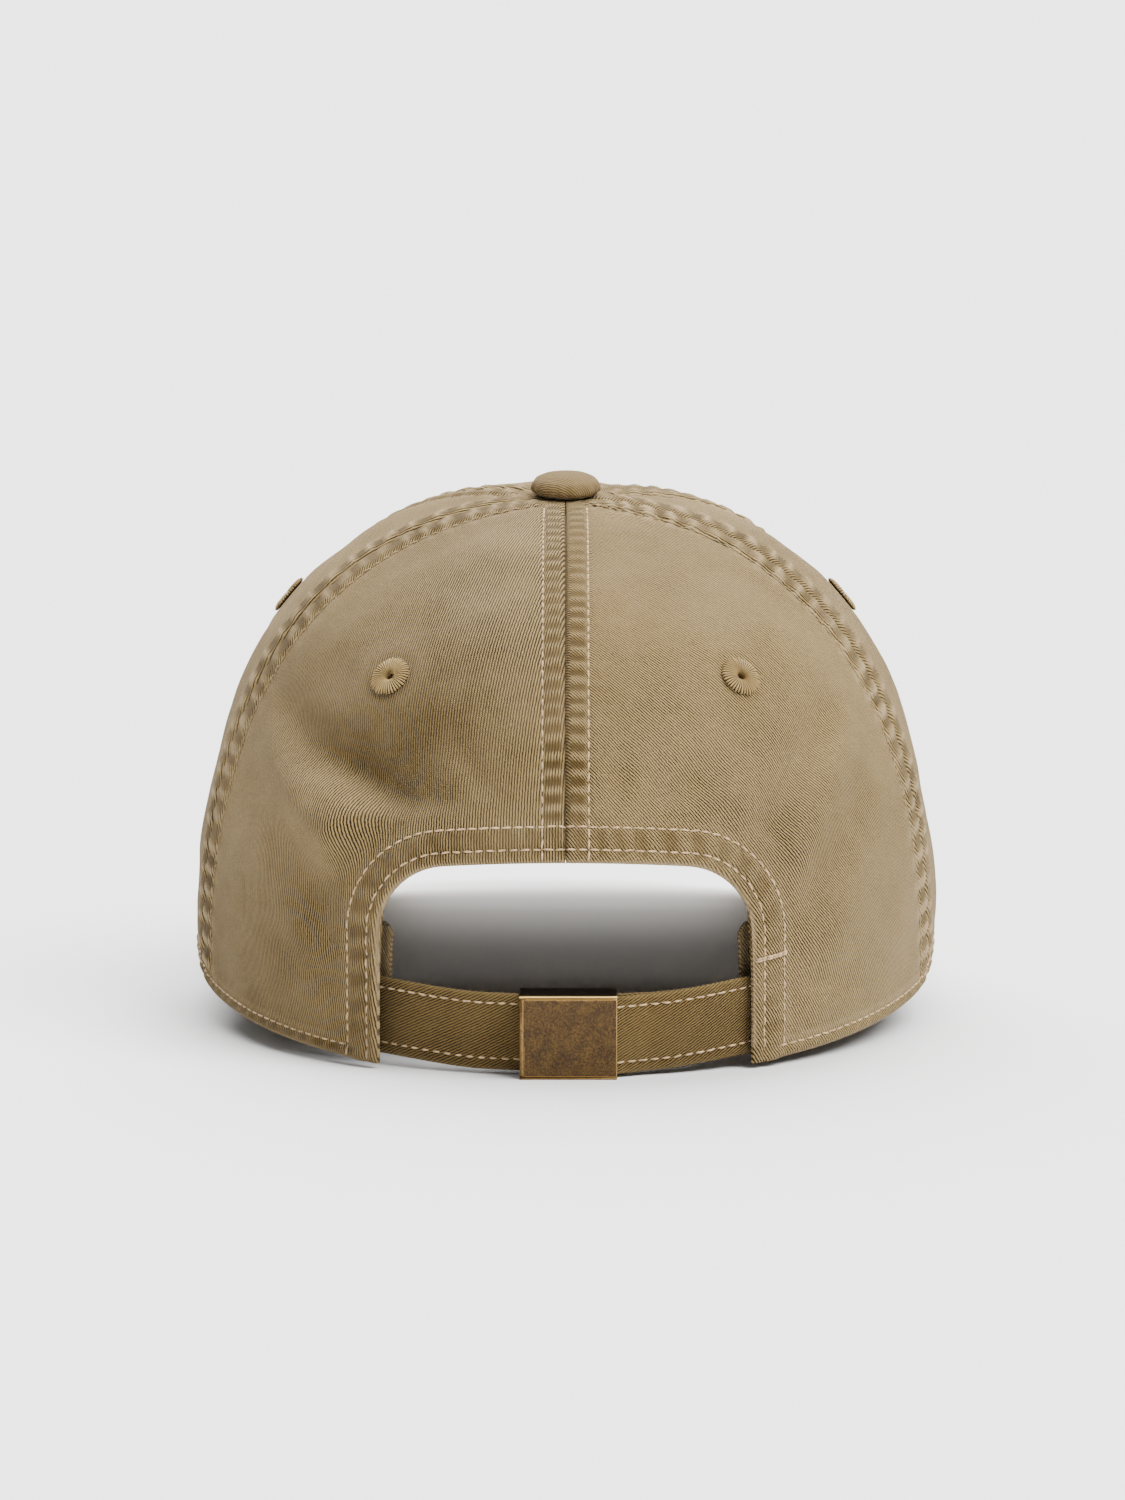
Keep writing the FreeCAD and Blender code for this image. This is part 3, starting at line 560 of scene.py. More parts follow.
class Nodes:
    """A short way to write a material's nodes."""

    def __init__(self, name):
        self.material = bpy.data.materials.new(name)
        self.material.use_nodes = True
        self.tree = self.material.node_tree
        self.shader = self.tree.nodes["Principled BSDF"]

    def link(self, source, socket):
        """Joins a socket to another, or gives it a number or a colour of 0 to 255."""
        if hasattr(source, "links"):
            self.tree.links.new(source, socket)
        else:
            socket.default_value = srgb(*source) if isinstance(source, tuple) else source

    def math(self, kind, *inputs):
        node = self.tree.nodes.new("ShaderNodeMath")
        node.operation = kind
        for source, socket in zip(inputs, node.inputs):
            self.link(source, socket)
        return node.outputs[0]

    def add(self, *values):
        return functools.reduce(lambda a, b: self.math("ADD", a, b), values)

    def times(self, a, b):
        return self.math("MULTIPLY", a, b)

    def attribute(self, name, output):
        node = self.tree.nodes.new("ShaderNodeAttribute")
        node.attribute_name = name
        return node.outputs[output]

    def place(self):
        return self.tree.nodes.new("ShaderNodeTexCoord").outputs["Object"]

    def split(self, vector):
        """The first two parts of a vector."""
        node = self.tree.nodes.new("ShaderNodeSeparateXYZ")
        self.tree.links.new(vector, node.inputs[0])
        return node.outputs[0], node.outputs[1]

    def scaled(self, vector, scale):
        node = self.tree.nodes.new("ShaderNodeMapping")
        node.inputs["Scale"].default_value = scale
        self.tree.links.new(vector, node.inputs["Vector"])
        return node.outputs[0]

    def noise(self, vector, scale, detail=2.0, rough=0.5):
        node = self.tree.nodes.new("ShaderNodeTexNoise")
        node.inputs["Scale"].default_value = scale
        node.inputs["Detail"].default_value = detail
        node.inputs["Roughness"].default_value = rough
        self.tree.links.new(vector, node.inputs["Vector"])
        return node.outputs[0]

    def ramp(self, factor, low, high):
        """factor from low to high, stretched to run from 0 to 1."""
        node = self.tree.nodes.new("ShaderNodeMapRange")
        self.link(factor, node.inputs[0])
        node.inputs[1].default_value = low
        node.inputs[2].default_value = high
        return node.outputs[0]

    def mix(self, factor, a, b):
        node = self.tree.nodes.new("ShaderNodeMix")
        node.data_type = "RGBA"
        self.link(factor, node.inputs["Factor"])
        self.link(a, node.inputs[6])
        self.link(b, node.inputs[7])
        return node.outputs[2]

    def bump(self, height, distance, strength=1.0):
        node = self.tree.nodes.new("ShaderNodeBump")
        node.inputs["Distance"].default_value = distance
        node.inputs["Strength"].default_value = strength
        self.tree.links.new(height, node.inputs["Height"])
        self.tree.links.new(node.outputs[0], self.shader.inputs["Normal"])

    def colour(self, source):
        self.link(source, self.shader.inputs["Base Color"])

    def set(self, **values):
        for name, value in values.items():
            self.shader.inputs[name.replace("_", " ")].default_value = value


def twill(name, light, dark, wear_and_painted_light, painted_shade, pitch=0.62, contrast=1.0):
    """Washed cotton twill: fine diagonal ribs, dye that varies in tone, fading where
    wear_and_painted_light is high, painted light on the lower right, and painted shade where it is
    below zero.
    """
    n = Nodes(name)
    weave = n.attribute("weave", "Vector")
    x, y = n.split(weave)
    sway = n.add(n.times(n.noise(weave, 0.22, 3.0), 1.3), n.times(n.noise(weave, 1.1, 2.0), 3.2))
    turn = 2 * PI / pitch
    rib = n.math("SINE", n.add(n.times(x, turn), sway))
    thread = n.math("SINE", n.times(n.add(y, n.times(x, 0.9)), turn * 1.25))
    slub = n.noise(n.scaled(weave, (2.6, 0.55, 1.0)), 1.0, 4.0, 0.7)
    speck = n.ramp(n.noise(weave, 2.6, 2.0, 0.6), 0.25, 0.75)
    height = n.add(n.times(rib, 0.5), n.times(thread, 0.22), n.times(slub, 0.9))
    blotch = n.ramp(n.noise(n.place(), 26.0, 3.0, 0.55), 0.3, 0.7)
    tone = n.add(
        n.times(n.ramp(rib, -0.9, 0.6), 1.0 * contrast),
        n.times(slub, 0.48 * contrast),
        n.times(speck, 0.55 * contrast),
        n.times(blotch, 0.28),
    )
    base = n.mix(n.ramp(tone, 0.86, 1.51), dark, light)
    rubbing_and_painted_light = n.attribute("wear_and_painted_light", "Fac")
    # Painted shade: below zero, the attribute darkens the cloth towards its shade colour.
    base = n.mix(n.ramp(rubbing_and_painted_light, 0.0, -1.3), base, painted_shade)
    washed = n.ramp(n.noise(n.place(), 55.0, 5.0, 0.7), 0.40, 0.75)
    base = n.mix(n.times(washed, 0.24), base, wear_and_painted_light)
    # Above zero the cloth fades towards its lighter colour; on the lower right of the back this is
    # painted light.
    rub = n.times(rubbing_and_painted_light, n.add(n.times(slub, 0.9), 0.25))
    n.colour(n.mix(n.ramp(rub, 0.12, 0.95), base, wear_and_painted_light))
    n.set(Roughness=0.95, Specular_IOR_Level=0.10, Sheen_Weight=0.05, Sheen_Roughness=0.5)
    n.bump(height, 0.00021, 1.0)
    return n.material


def thread_material(name, light, dark):
    n = Nodes(name)
    n.colour(n.mix(n.ramp(n.noise(n.place(), 900.0, 3.0), 0.3, 0.7), dark, light))
    n.set(Roughness=0.75, Specular_IOR_Level=0.25)
    n.bump(n.noise(n.scaled(n.place(), (3.0, 1.0, 1.0)), 1600.0, 2.0), 0.00006, 0.7)
    return n.material


def ring_material():
    """Satin stitch: thread that is darker in the gaps between its turns, as painted shade."""
    n = Nodes("ring_thread")
    strand = n.add(n.attribute("wear_and_painted_light", "Fac"), n.times(n.noise(n.place(), 900.0, 3.0), 0.3))
    n.colour(n.mix(n.ramp(strand, 0.45, 1.0), (48, 34, 15), (156, 131, 84)))
    n.set(Roughness=0.75, Specular_IOR_Level=0.25)
    return n.material


def brass_material():
    n = Nodes("antique_brass")
    place = n.place()
    mottle = n.noise(place, 2300.0, 6.0, 0.8)
    grain = n.noise(place, 1500.0, 3.0, 0.7)
    cloud = n.noise(place, 300.0, 3.0)
    stain = n.add(n.times(mottle, 0.8), n.times(cloud, 0.2))
    dull = n.mix(n.ramp(stain, 0.44, 0.58), (50, 36, 23), (94, 71, 36))
    rubbing_and_painted_light = n.attribute("wear_and_painted_light", "Fac")
    rub = n.add(rubbing_and_painted_light, n.times(n.math("SUBTRACT", grain, 0.5), 0.7))
    rubbed = n.ramp(rub, 0.45, 0.85)
    # Rubbed edges turn to bright brass; the brightest colour, above 1.25, is a painted highlight.
    rubbed_and_highlight = n.mix(n.ramp(rubbing_and_painted_light, 1.25, 1.5), (168, 131, 74), (224, 186, 112))
    polished = n.mix(rubbed, dull, rubbed_and_highlight)
    # Below zero the brass is painted near black, as painted shade.
    n.colour(n.mix(n.ramp(rubbing_and_painted_light, 0.0, -1.0), polished, (30, 22, 16)))
    rough = n.add(n.times(rubbed, -0.16), n.add(n.times(mottle, 0.25), 0.34))
    n.link(rough, n.shader.inputs["Roughness"])
    n.set(Metallic=0.75)
    n.bump(n.add(n.times(grain, 0.6), mottle), 0.00003, 0.6)
    return n.material


def metal_material(name, light, dark, rough):
    n = Nodes(name)
    brushed = n.noise(n.scaled(n.place(), (1.0, 1.0, 14.0)), 500.0, 3.0)
    n.colour(n.mix(n.ramp(brushed, 0.3, 0.7), dark, light))
    n.set(Metallic=1.0, Roughness=rough)
    n.bump(brushed, 0.00002, 0.5)
    return n.material


def board_material():
    n = Nodes("peak_board_plastic")
    grain = n.noise(n.place(), 700.0, 3.0)
    n.colour(n.mix(grain, (205, 203, 196), (222, 220, 214)))
    n.set(Roughness=0.55)
    n.bump(grain, 0.00004, 0.5)
    return n.material


MESH_PITCH = 1.1


def mesh_material():
    """Stiff open-weave lining: a square grid of pale threads."""
    n = Nodes("lining_mesh")
    weave = n.attribute("weave", "Vector")
    waves = [n.math("SINE", n.times(side, 2 * PI / MESH_PITCH)) for side in n.split(weave)]
    grid = n.math("MAXIMUM", *waves)
    tone = n.add(grid, n.times(n.noise(weave, 1.4, 3.0), 0.5))
    n.colour(n.mix(n.ramp(tone, -0.2, 1.2), (96, 86, 70), (168, 156, 134)))
    n.set(Roughness=0.85, Specular_IOR_Level=0.2)
    n.bump(grid, 0.0002, 0.8)
    return n.material


# Each twill's colours: light, dark, faded, and the painted shade colour.
TWILL = twill("tan_twill", (153, 129, 84), (26, 19, 8), (152, 132, 99), (64, 48, 17))
BUTTON_TWILL = twill(
    "button_twill", (132, 110, 71), (88, 71, 42), (150, 130, 96), (62, 48, 22), 0.6, 0.9
)
STRAP_TWILL = twill("dark_twill", (120, 97, 55), (30, 21, 8), (122, 103, 64), (40, 30, 13), 0.58)
TAPE_TWILL = twill("tape_twill", (140, 124, 94), (104, 87, 60), (158, 143, 115), (96, 80, 54), 0.7)
BAND_TWILL = twill(
    "sweatband_twill", (150, 130, 95), (102, 84, 56), (160, 142, 112), (84, 68, 45), 0.7
)
PALE_THREAD = thread_material("pale_thread", (208, 177, 138), (150, 126, 95))
WORN_THREAD = thread_material("worn_thread", (160, 138, 104), (122, 101, 70))
RING_THREAD = ring_material()
BRASS = brass_material()
STEEL = metal_material("button_steel", (190, 190, 188), (150, 150, 148), 0.42)
BOARD = board_material()
MESH = mesh_material()


# ---------------------------------------------------------------- crown panels

PANELS = {
    "back_right": (0.0, REAR_SEAM, 62, 30.0),
    "side_right": (REAR_SEAM, FRONT_SEAM, 40, 25.0),
    "front_right": (FRONT_SEAM, PI, 55, 25.0),
    "front_left": (-PI, -FRONT_SEAM, 55, 20.0),
    "side_left": (-FRONT_SEAM, -REAR_SEAM, 40, 20.0),
    "back_left": (-REAR_SEAM, 0.0, 62, 12.0),
}


def back_foot(count):
    """A back panel's lower edge as azimuth and climb, from the centre seam to the rear seam."""
    edge = bowed_path(ARCH, 0.0, 0.0, 0.35)
    edge = edge[edge[:, 0] >= 0]
    az, climb = find_on_back(edge[:, 0], edge[:, 1])
    az[0] = 0.0
    rim = np.linspace(az[-1], REAR_SEAM, 200)[1:]
    az, climb = np.concatenate([az, rim]), np.concatenate([climb, rim * 0])
    path = outer(az, climb)
    steps = path_steps(path)
    corner = steps[len(edge) - 1]
    to_corner = corner * graded(int(count * 0.58), 0.55)
    beyond = corner + (steps[-1] - corner) * graded(count - len(to_corner) + 1, 0.6)[1:]
    place = np.concatenate([to_corner, beyond])
    return np.interp(place, steps, az), np.interp(place, steps, climb), place / steps[-1]


def panel_grid(start, end, columns, rows, low_climb=0.0):
    """Azimuths and climbs of a panel's grid, drawn in a hair at the seams."""
    if start == 0.0 or end == 0.0:
        foot_az, foot_climb, share = back_foot(columns)
        if end == 0.0:
            foot_az, foot_climb, share = -foot_az[::-1], foot_climb[::-1], 1 - share[::-1]
    else:
        share = graded(columns, 0.62)
        foot_az, foot_climb = start + (end - start) * share, share * 0 + low_climb
    up = graded_low(rows, 0.7)
    top_az = start + (end - start) * share
    az = foot_az[:, None] + (top_az - foot_az)[:, None] * up[None]
    climb = foot_climb[:, None] + (TOP_CLIMB - foot_climb)[:, None] * up[None]
    p = outer(az, climb)
    inset = 0.08 / np.maximum(1.0, from_axis(p))
    return start + inset + (az - start) * (end - start - 2 * inset) / (end - start), climb


def open_eyelet(az, climb, centre, radius=2.3, reach=10.0):
    """Draws the grid back from an eyelet, and gives the cell that is left inside it."""
    along, upward = tangents(az, climb)
    per_turn, per_climb = np.linalg.norm(along, axis=-1), np.linalg.norm(upward, axis=-1)
    a, b = wrap(az - centre[0]) * per_turn, (climb - centre[1]) * per_climb
    middle = (a[:-1, :-1] + a[1:, 1:]) / 2, (b[:-1, :-1] + b[1:, 1:]) / 2
    i, j = np.unravel_index(np.argmin(np.hypot(*middle)), middle[0].shape)
    a0, b0 = middle[0][i, j], middle[1][i, j]
    near = 1 - smooth(np.hypot(a, b), 0, reach)
    a, b = a - a0 * near, b - b0 * near
    r = np.maximum(np.hypot(a, b), 1e-6)
    push = np.where(r < reach, (radius + r * (reach - radius) / reach) / r, 1.0)
    return centre[0] + a * push / per_turn, centre[1] + b * push / per_climb, (int(i), int(j))


def crown_skin(az, climb, heights):
    """Outer and inner faces of a crown panel, rounded at its edges."""
    top, outward = crown(az, climb)
    sizes = [np.linalg.norm(np.diff(top, axis=k), axis=-1).mean(1 - k) for k in (0, 1)]
    dip = edge_round(*(np.concatenate([[0], np.cumsum(size)]) for size in sizes), CLOTH)
    high = top + outward * (heights - dip)[..., None]
    low = top + outward * (np.minimum(heights - 0.4, -CLOTH) + dip * 0.4)[..., None]
    return lean(high), lean(low)


def flat_weave(az, climb, middle, degrees):
    along, _ = tangents(az, climb)
    x = wrap(az - middle) * np.linalg.norm(along, axis=-1)
    return turn_weave(x, arc_length(az, climb), degrees)


for side, (start, end, columns, turn) in PANELS.items():
    az, climb = panel_grid(start, end, columns * 2, 150)
    az, climb, cell = open_eyelet(az, climb, EYELETS["eyelet_" + side])
    heights, wear_and_painted_light = relief(az, climb)
    faces = crown_skin(az, climb, heights)
    weave = flat_weave(az, climb, (start + end) / 2, turn)
    cloth("cloth_" + side, *faces, weave, wear_and_painted_light, TWILL, "twill", "panel_" + side, hole=cell)


def on_crown(az, climb, lift=0.0):
    """Points and outward directions on the crown's outer cloth, on the table."""
    p, outward = crown(az, climb)
    height, _ = relief(az, climb)
    return lean(p + outward * (height + lift)[..., None]), lean_direction(outward)


def seam_rows(*seams):
    rows = []
    arch_top = find_on_back(np.array([SEAM_ROW]), np.array([ARCH[1] + 0.3]))[1][0]
    for seam in seams:
        foot = arch_top if seam == 0.0 else 0.02
        for side in (-SEAM_ROW, SEAM_ROW):
            climb = np.linspace(foot, math.radians(84.5), 400)
            along, _ = tangents(np.full_like(climb, seam), climb)
            az = seam + side * SEAMS[seam][4] / np.linalg.norm(along, axis=-1)
            rows.append(on_crown(az, climb))
    return rows


def arch_rows():
    rows = []
    for grow in HEM_ROWS:
        path = bowed_path(ARCH, 0.6, grow)
        az, climb = find_on_back(path[:, 0] * 0.992, path[:, 1])
        rows.append(on_crown(az, climb))
    return rows


def rim_row():
    edge = math.radians(33.5)
    az = np.linspace(edge, 2 * PI - edge, 1500)
    trial = np.linspace(0, 0.1, 60)
    climb = np.interp(RIM_ROW, arc_length(np.full(60, PI / 2), trial), trial)
    return on_crown(wrap(az), np.full_like(az, climb))


def bartack():
    """A short dense bar of thread across the hem, above the strap on the right."""
    across = np.linspace(ARCH[0] + 0.4, ARCH[0] + 7.8, 12)
    rows = []
    for lift in (-0.22, 0.22):
        az, climb = find_on_back(across, 23.5 + lift + 0.06 * (across - ARCH[0]))
        rows.append(on_crown(az, climb, 0.15))
    return rows


stitches("bartack", bartack(), 1.5, 1.9, 0.27)
crown_rows = seam_rows(0.0, PI) + arch_rows() + [rim_row()]
stitches("crown_topstitching", crown_rows)
side_seams = seam_rows(REAR_SEAM, -REAR_SEAM, FRONT_SEAM, -FRONT_SEAM)
stitches("side_seam_topstitching", side_seams, radius=0.2, thread=WORN_THREAD)


# ---------------------------------------------------------------- eyelets and button

def frame_at(az0, climb0, lift=0.0):
    p, outward = on_crown(np.array([az0]), np.array([climb0]), lift)
    z = Vector(outward[0]).normalized()
    place = Matrix.Translation(Vector(p[0])) @ z.to_track_quat("Z", "Y").to_matrix().to_4x4()
    return np.array(place)


def lathe(profile, sides, shape=None):
    """A ring turned from a closed profile of (radius, height), which shape() can change."""
    profile = np.asarray(profile, float)
    angle = np.arange(sides) * 2 * PI / sides
    r, z = profile[None, :, 0], profile[None, :, 1]
    r, z = np.broadcast_to(r, (sides, len(profile))), np.broadcast_to(z, (sides, len(profile)))
    if shape:
        r, z = shape(r, z, angle[:, None])
    points = vec(r * np.cos(angle)[:, None], r * np.sin(angle)[:, None], z)
    faces = []
    m = len(profile)
    for i in range(sides):
        k = (i + 1) % sides
        for j in range(m):
            q = (j + 1) % m
            faces.append((i * m + j, k * m + j, k * m + q, i * m + q))
    return points, faces


def placed(points, matrix):
    return points @ matrix[:3, :3].T + matrix[:3, 3]


def rounded_loop(points, count):
    """A closed smooth profile through points."""
    points = np.asarray(points, float)
    closed = np.concatenate([points, points[:1]])
    steps = path_steps(closed)
    place = np.linspace(0, steps[-1], count, endpoint=False)
    loop = resample(closed, steps, place)
    for _ in range(2):
        loop = (np.roll(loop, 1, 0) + 2 * loop + np.roll(loop, -1, 0)) / 4
    return loop


def embroidered_ring(label, name, seed):
    outside = [(1.0, -0.2), (1.15, 0.5), (2.1, 0.92), (3.3, 0.78), (4.25, 0.15), (4.3, -0.05)]
    inside = [(2.0, -0.12), (2.0, -1.35), (4.1, -1.4), (3.9, -1.62), (1.1, -1.6)]
    profile = rounded_loop(outside + inside, 44)

    def strand_at(at, angle):
        return np.abs(np.sin(angle * 20 + 0.6 * noise(at, 0.7, 3)))

    def threads(r, z, angle):
        at = vec(np.cos(angle) * 3, np.sin(angle) * 3, r * 0 + seed)
        strand = strand_at(at, angle)
        ragged = noise(at, 0.35, 5)
        outward = smooth(r, 1.2, 4.0)
        lifted = np.where(z > -0.1, 1.0, 0.35)
        spread = r * (1 + 0.16 * smooth(r, 1.5, 3))
        spread = spread + outward * (ragged * 0.3 + (strand - 0.6) * 0.3)
        spread = spread - (1 - outward) * 0.12 * strand
        return spread, z + lifted * (strand - 0.6) * 0.4 * smooth(r, 0.9, 1.6)

    points, faces = lathe(profile, 320, threads)
    angle = np.arctan2(points[..., 1], points[..., 0])
    at = vec(np.cos(angle) * 3, np.sin(angle) * 3, seed)
    # Painted shade in the gaps between the turns, and a little darker at the outer edge as the
    # ring's shadow on the cloth.
    edge = smooth(np.hypot(points[..., 0], points[..., 1]), 3.9, 4.9)
    wear_and_painted_light = strand_at(at, angle) * (1 - 0.25 * edge)
    points = placed(points.reshape(-1, 3), frame_at(*EYELETS[name], 0.05))
    return new_object(label, points, faces, None, wear_and_painted_light)


for number, name in enumerate(EYELETS):
    ring = embroidered_ring("ring_" + name, name, number)
    finish_piece(ring, "crown", RING_THREAD, "embroidery", name)


def button_cloth():
    outside = [(0.0, 5.55), (2.5, 5.45), (5.0, 5.0), (6.9, 4.1), (7.9, 2.9), (8.15, 1.8)]
    turned_in = [(7.7, 0.95), (6.8, 0.55), (6.6, 0.9), (7.2, 1.5), (7.3, 2.3)]
    inside = [(6.5, 3.4), (4.6, 4.3), (2.0, 4.75), (0.0, 4.8)]
    profile = np.array(outside + turned_in + inside)
    steps = path_steps(profile)
    place = np.linspace(0, steps[-1], 70)
    line = resample(profile, steps, place)
    line[1:-1] = (line[:-2] + 2 * line[1:-1] + line[2:]) / 4
    sides = 160
    angle = np.arange(sides)[:, None] * 2 * PI / sides
    r, z = line[None, :, 0], line[None, :, 1]
    weave = turn_weave(place * np.cos(angle), place * np.sin(angle), 64)
    gather = smooth(r, 5.5, 8.0) * (1 - smooth(z, 2.6, 4.6))
    folds = gather * 0.16 * (1 + np.sin(angle * 17 + 2 * np.sin(angle * 3)))
    r = r * (1 + 0.016 * np.cos(2 * angle + 0.4)) - folds
    z = z + 0.10 * np.sin(angle * 2 + 1.0) * smooth(r, 2, 8)
    points = vec(r * np.cos(angle), r * np.sin(angle), z)
    faces = grid_faces(sides, len(line), closed=True)
    wear_and_painted_light = 0.35 * bump(np.broadcast_to(z, r.shape), 3.9, 0.6)
    points = lean(points.reshape(-1, 3) + (0, FORWARD, TALL))
    obj = new_object("covered_button", points, faces, weave, wear_and_painted_light)
    work = bmesh.new()
    work.from_mesh(obj.data)
    bmesh.ops.remove_doubles(work, verts=work.verts, dist=1e-6)
    work.to_mesh(obj.data)
    work.free()
    return obj


finish_piece(button_cloth(), "crown", BUTTON_TWILL, "twill", "button_cover")


# ---------------------------------------------------------------- peak

PEAK_ROWS = (3.2, 9.5, 16.5, 23.5, 30.5, 37.5, 44.5)
PEAK_THICK = 3.6


def head_line(y, tuck=2.4):
    """Half the width of the oval that the peak is cut to, at each y."""
    return (HALF_WIDTH - tuck) * np.sqrt(np.clip(1 - (y / (FRONT - tuck)) ** 2, 0, 1))


def peak_surface(x, y):
    """Points of the peak's upper face and the outward direction there."""
    lean_y, lean_z = math.sin(PEAK_SLOPE), math.cos(PEAK_SLOPE)
    normal = unit(vec(x / PEAK_ROLL, lean_y, lean_z * np.sqrt(1 - (x / PEAK_ROLL) ** 2)))
    return vec(x, y, peak_z(x, y) - PEAK_SINK), normal


def peak_grid(tuck):
    """Plan points from the head's oval to the peak's outer edge, from -x round to +x."""
    foot = math.asin(PEAK_HEEL / (FRONT - tuck))
    angle = np.linspace(PI - foot, foot, 241)
    inner = np.stack([(HALF_WIDTH - tuck) * np.cos(angle), (FRONT - tuck) * np.sin(angle)], -1)
    edge = bowed_path(PEAK, PEAK_HEEL, 0.0, 0.5)
    steps = path_steps(edge)
    place = np.linspace(0, steps[-1], len(angle))
    rim = resample(edge, steps, place)
    w = 1 - graded_low(58, 0.7)[::-1]
    return inner[:, None] + (rim - inner)[:, None] * w[None, :, None]


def peak_relief(x, y):
    gap, along = bowed_inside(x, y, PEAK)
    height = 0.25 * noise(vec(x, y), 30, 31) + 0.12 * noise(vec(x, y), 11, 32)
    wear_and_painted_light = 1.1 * np.exp(-((gap / 1.6) ** 2))
    for number, row in enumerate(PEAK_ROWS):
        height = height - 0.30 * bump(gap, row, 0.55)
        ripple = np.sin(2 * PI * along / THREAD_PITCH + number)
        height = height + 0.05 * ripple * bump(gap, row, 1.3)
    phase = 2 * line_noise(along, 15, 33)
    height = height + 0.10 * np.sin(2 * PI * along / 6.1 + phase) * bump(gap, 1.6, 1.6)
    return height, wear_and_painted_light, gap


def peak_cloth(label, node, under):
    plan = peak_grid(3.2 if under else 2.4)
    x, y = plan[..., 0], plan[..., 1]
    from_root = np.linalg.norm(plan - plan[:, :1], axis=-1)
    wrapped = 2.2 * (1 - smooth(from_root, 0.1, 1.0))
    height, wear_and_painted_light, gap = peak_relief(x, y)
    surface, normal = peak_surface(x, y)
    turned = 1.75 * (1 - np.sqrt(np.clip(1 - (np.clip(1.7 - gap, 0, 1.7) / 1.7) ** 2, 0, 1)))
    edge_calm = smooth(gap, 0.2, 2.0)
    height = height * edge_calm
    height = -(PEAK_THICK - turned - wrapped + height) if under else height - turned
    high = surface + normal * height[..., None]
    inward = grid_normals(high) * 0.85
    if (inward[..., 2].mean() > 0) != under:
        inward = -inward
    cloth(label, lean(high), lean(high + inward), turn_weave(x, y, 42), wear_and_painted_light, TWILL, "twill", node)


peak_cloth("peak_top_cover", "peak_top_cloth", False)
peak_cloth("peak_under_cover", "peak_under_cloth", True)


def peak_stitches():
    paths = []
    for row in PEAK_ROWS:
        path = bowed_path(PEAK, PEAK_HEEL, -row, 0.8)
        path = path[(np.abs(path[:, 0]) > head_line(path[:, 1], 0.0) + 1.5) | (path[:, 1] > FRONT)]
        path = path[path[:, 1] > PEAK_HEEL + 6]
        if row > 40:
            path = path[path[:, 1] > 60]
        x, y = path[:, 0], path[:, 1]
        breaks = np.nonzero(np.linalg.norm(np.diff(path, axis=0), axis=1) > 3)[0]
        height, _, _ = peak_relief(x, y)
        surface, normal = peak_surface(x, y)
        for above in (True, False):
            points = surface + normal * (height if above else -PEAK_THICK - height)[:, None]
            outward = lean_direction(normal if above else -normal)
            points = lean(points)
            cuts = [0, *(breaks + 1), len(points)]
            paths += [(points[a:b], outward[a:b]) for a, b in zip(cuts[:-1], cuts[1:]) if b - a > 4]
    return paths


stitches("peak_stitching", peak_stitches(), 3.0, 2.4, 0.25)


# ---------------------------------------------------------------- inside the crown

def band_depth(az):
    toward_front = (1 - np.cos(az)) / 2
    return 8.5 - 5.8 * smooth(toward_front, 0.28, 0.68)


def climb_to(az, heights):
    """How far up the crown's form each column of az reaches its heights."""
    trial = np.linspace(-0.15, 0.6, 160)
    return np.array([
        np.interp(height, outer(np.full_like(trial, a), trial)[:, 2], trial)
        for a, height in zip(az, heights)
    ])


def sweatband():
    end = math.radians(30.8)
    half_way = (PI - end) * np.linspace(0, 1, 170)
    az = np.concatenate([end + half_way, PI + half_way[1:]])
    heights_up = np.linspace(0, 1, 40)
    from_end = 90 * np.minimum(az - end, 2 * PI - end - az)
    crest = 31.0 - 2.6 * np.exp(-((from_end / 1.3) ** 2))
    low = rim_z(az) + 1.0
    target = low[:, None] + (crest - low)[:, None] * heights_up[None]
    grid_az = np.broadcast_to(az[:, None], target.shape)
    climb = climb_to(az, target)
    s = arc_length(grid_az, climb)
    v = target - low[:, None]
    top = (crest - low)[:, None]
    ripple = noise(vec(grid_az * 90, v * 0.6), 11, 41)
    gathers = np.sin(grid_az * 60 + 3 * line_noise(grid_az * 90, 20, 42))
    bulge = 0.30 * ripple + 0.25 * gathers * bump(v, 0, 7)
    bulge = bulge - 0.25 * (bump(v, BAND_ROW, 0.5) + bump(v, top - BAND_ROW, 0.5))
    bulge = bulge + 0.25 * bump(v, 1.2, 1.2)
    outer_face, outward = crown(grid_az, climb, band_depth(grid_az))
    inner_face = outer_face - outward * (1.15 + bulge)[..., None]
    wear_and_painted_light = 0.8 * np.exp(-((v / 1.4) ** 2))
    weave = turn_weave(grid_az * 92, s, 35)
    faces = lean(outer_face), lean(inner_face)
    cloth("inner_sweatband", *faces, weave, wear_and_painted_light, BAND_TWILL, "sweatband_twill", "sweatband")
    paths = []
    for row in (low + BAND_ROW, crest - BAND_ROW):
        p, out = crown(az, climb_to(az, row), band_depth(az) + 1.0)
        paths.append((lean(p), -lean_direction(out)))
    stitches("sweatband_stitching", paths, 3.2, 2.4, 0.22)


sweatband()


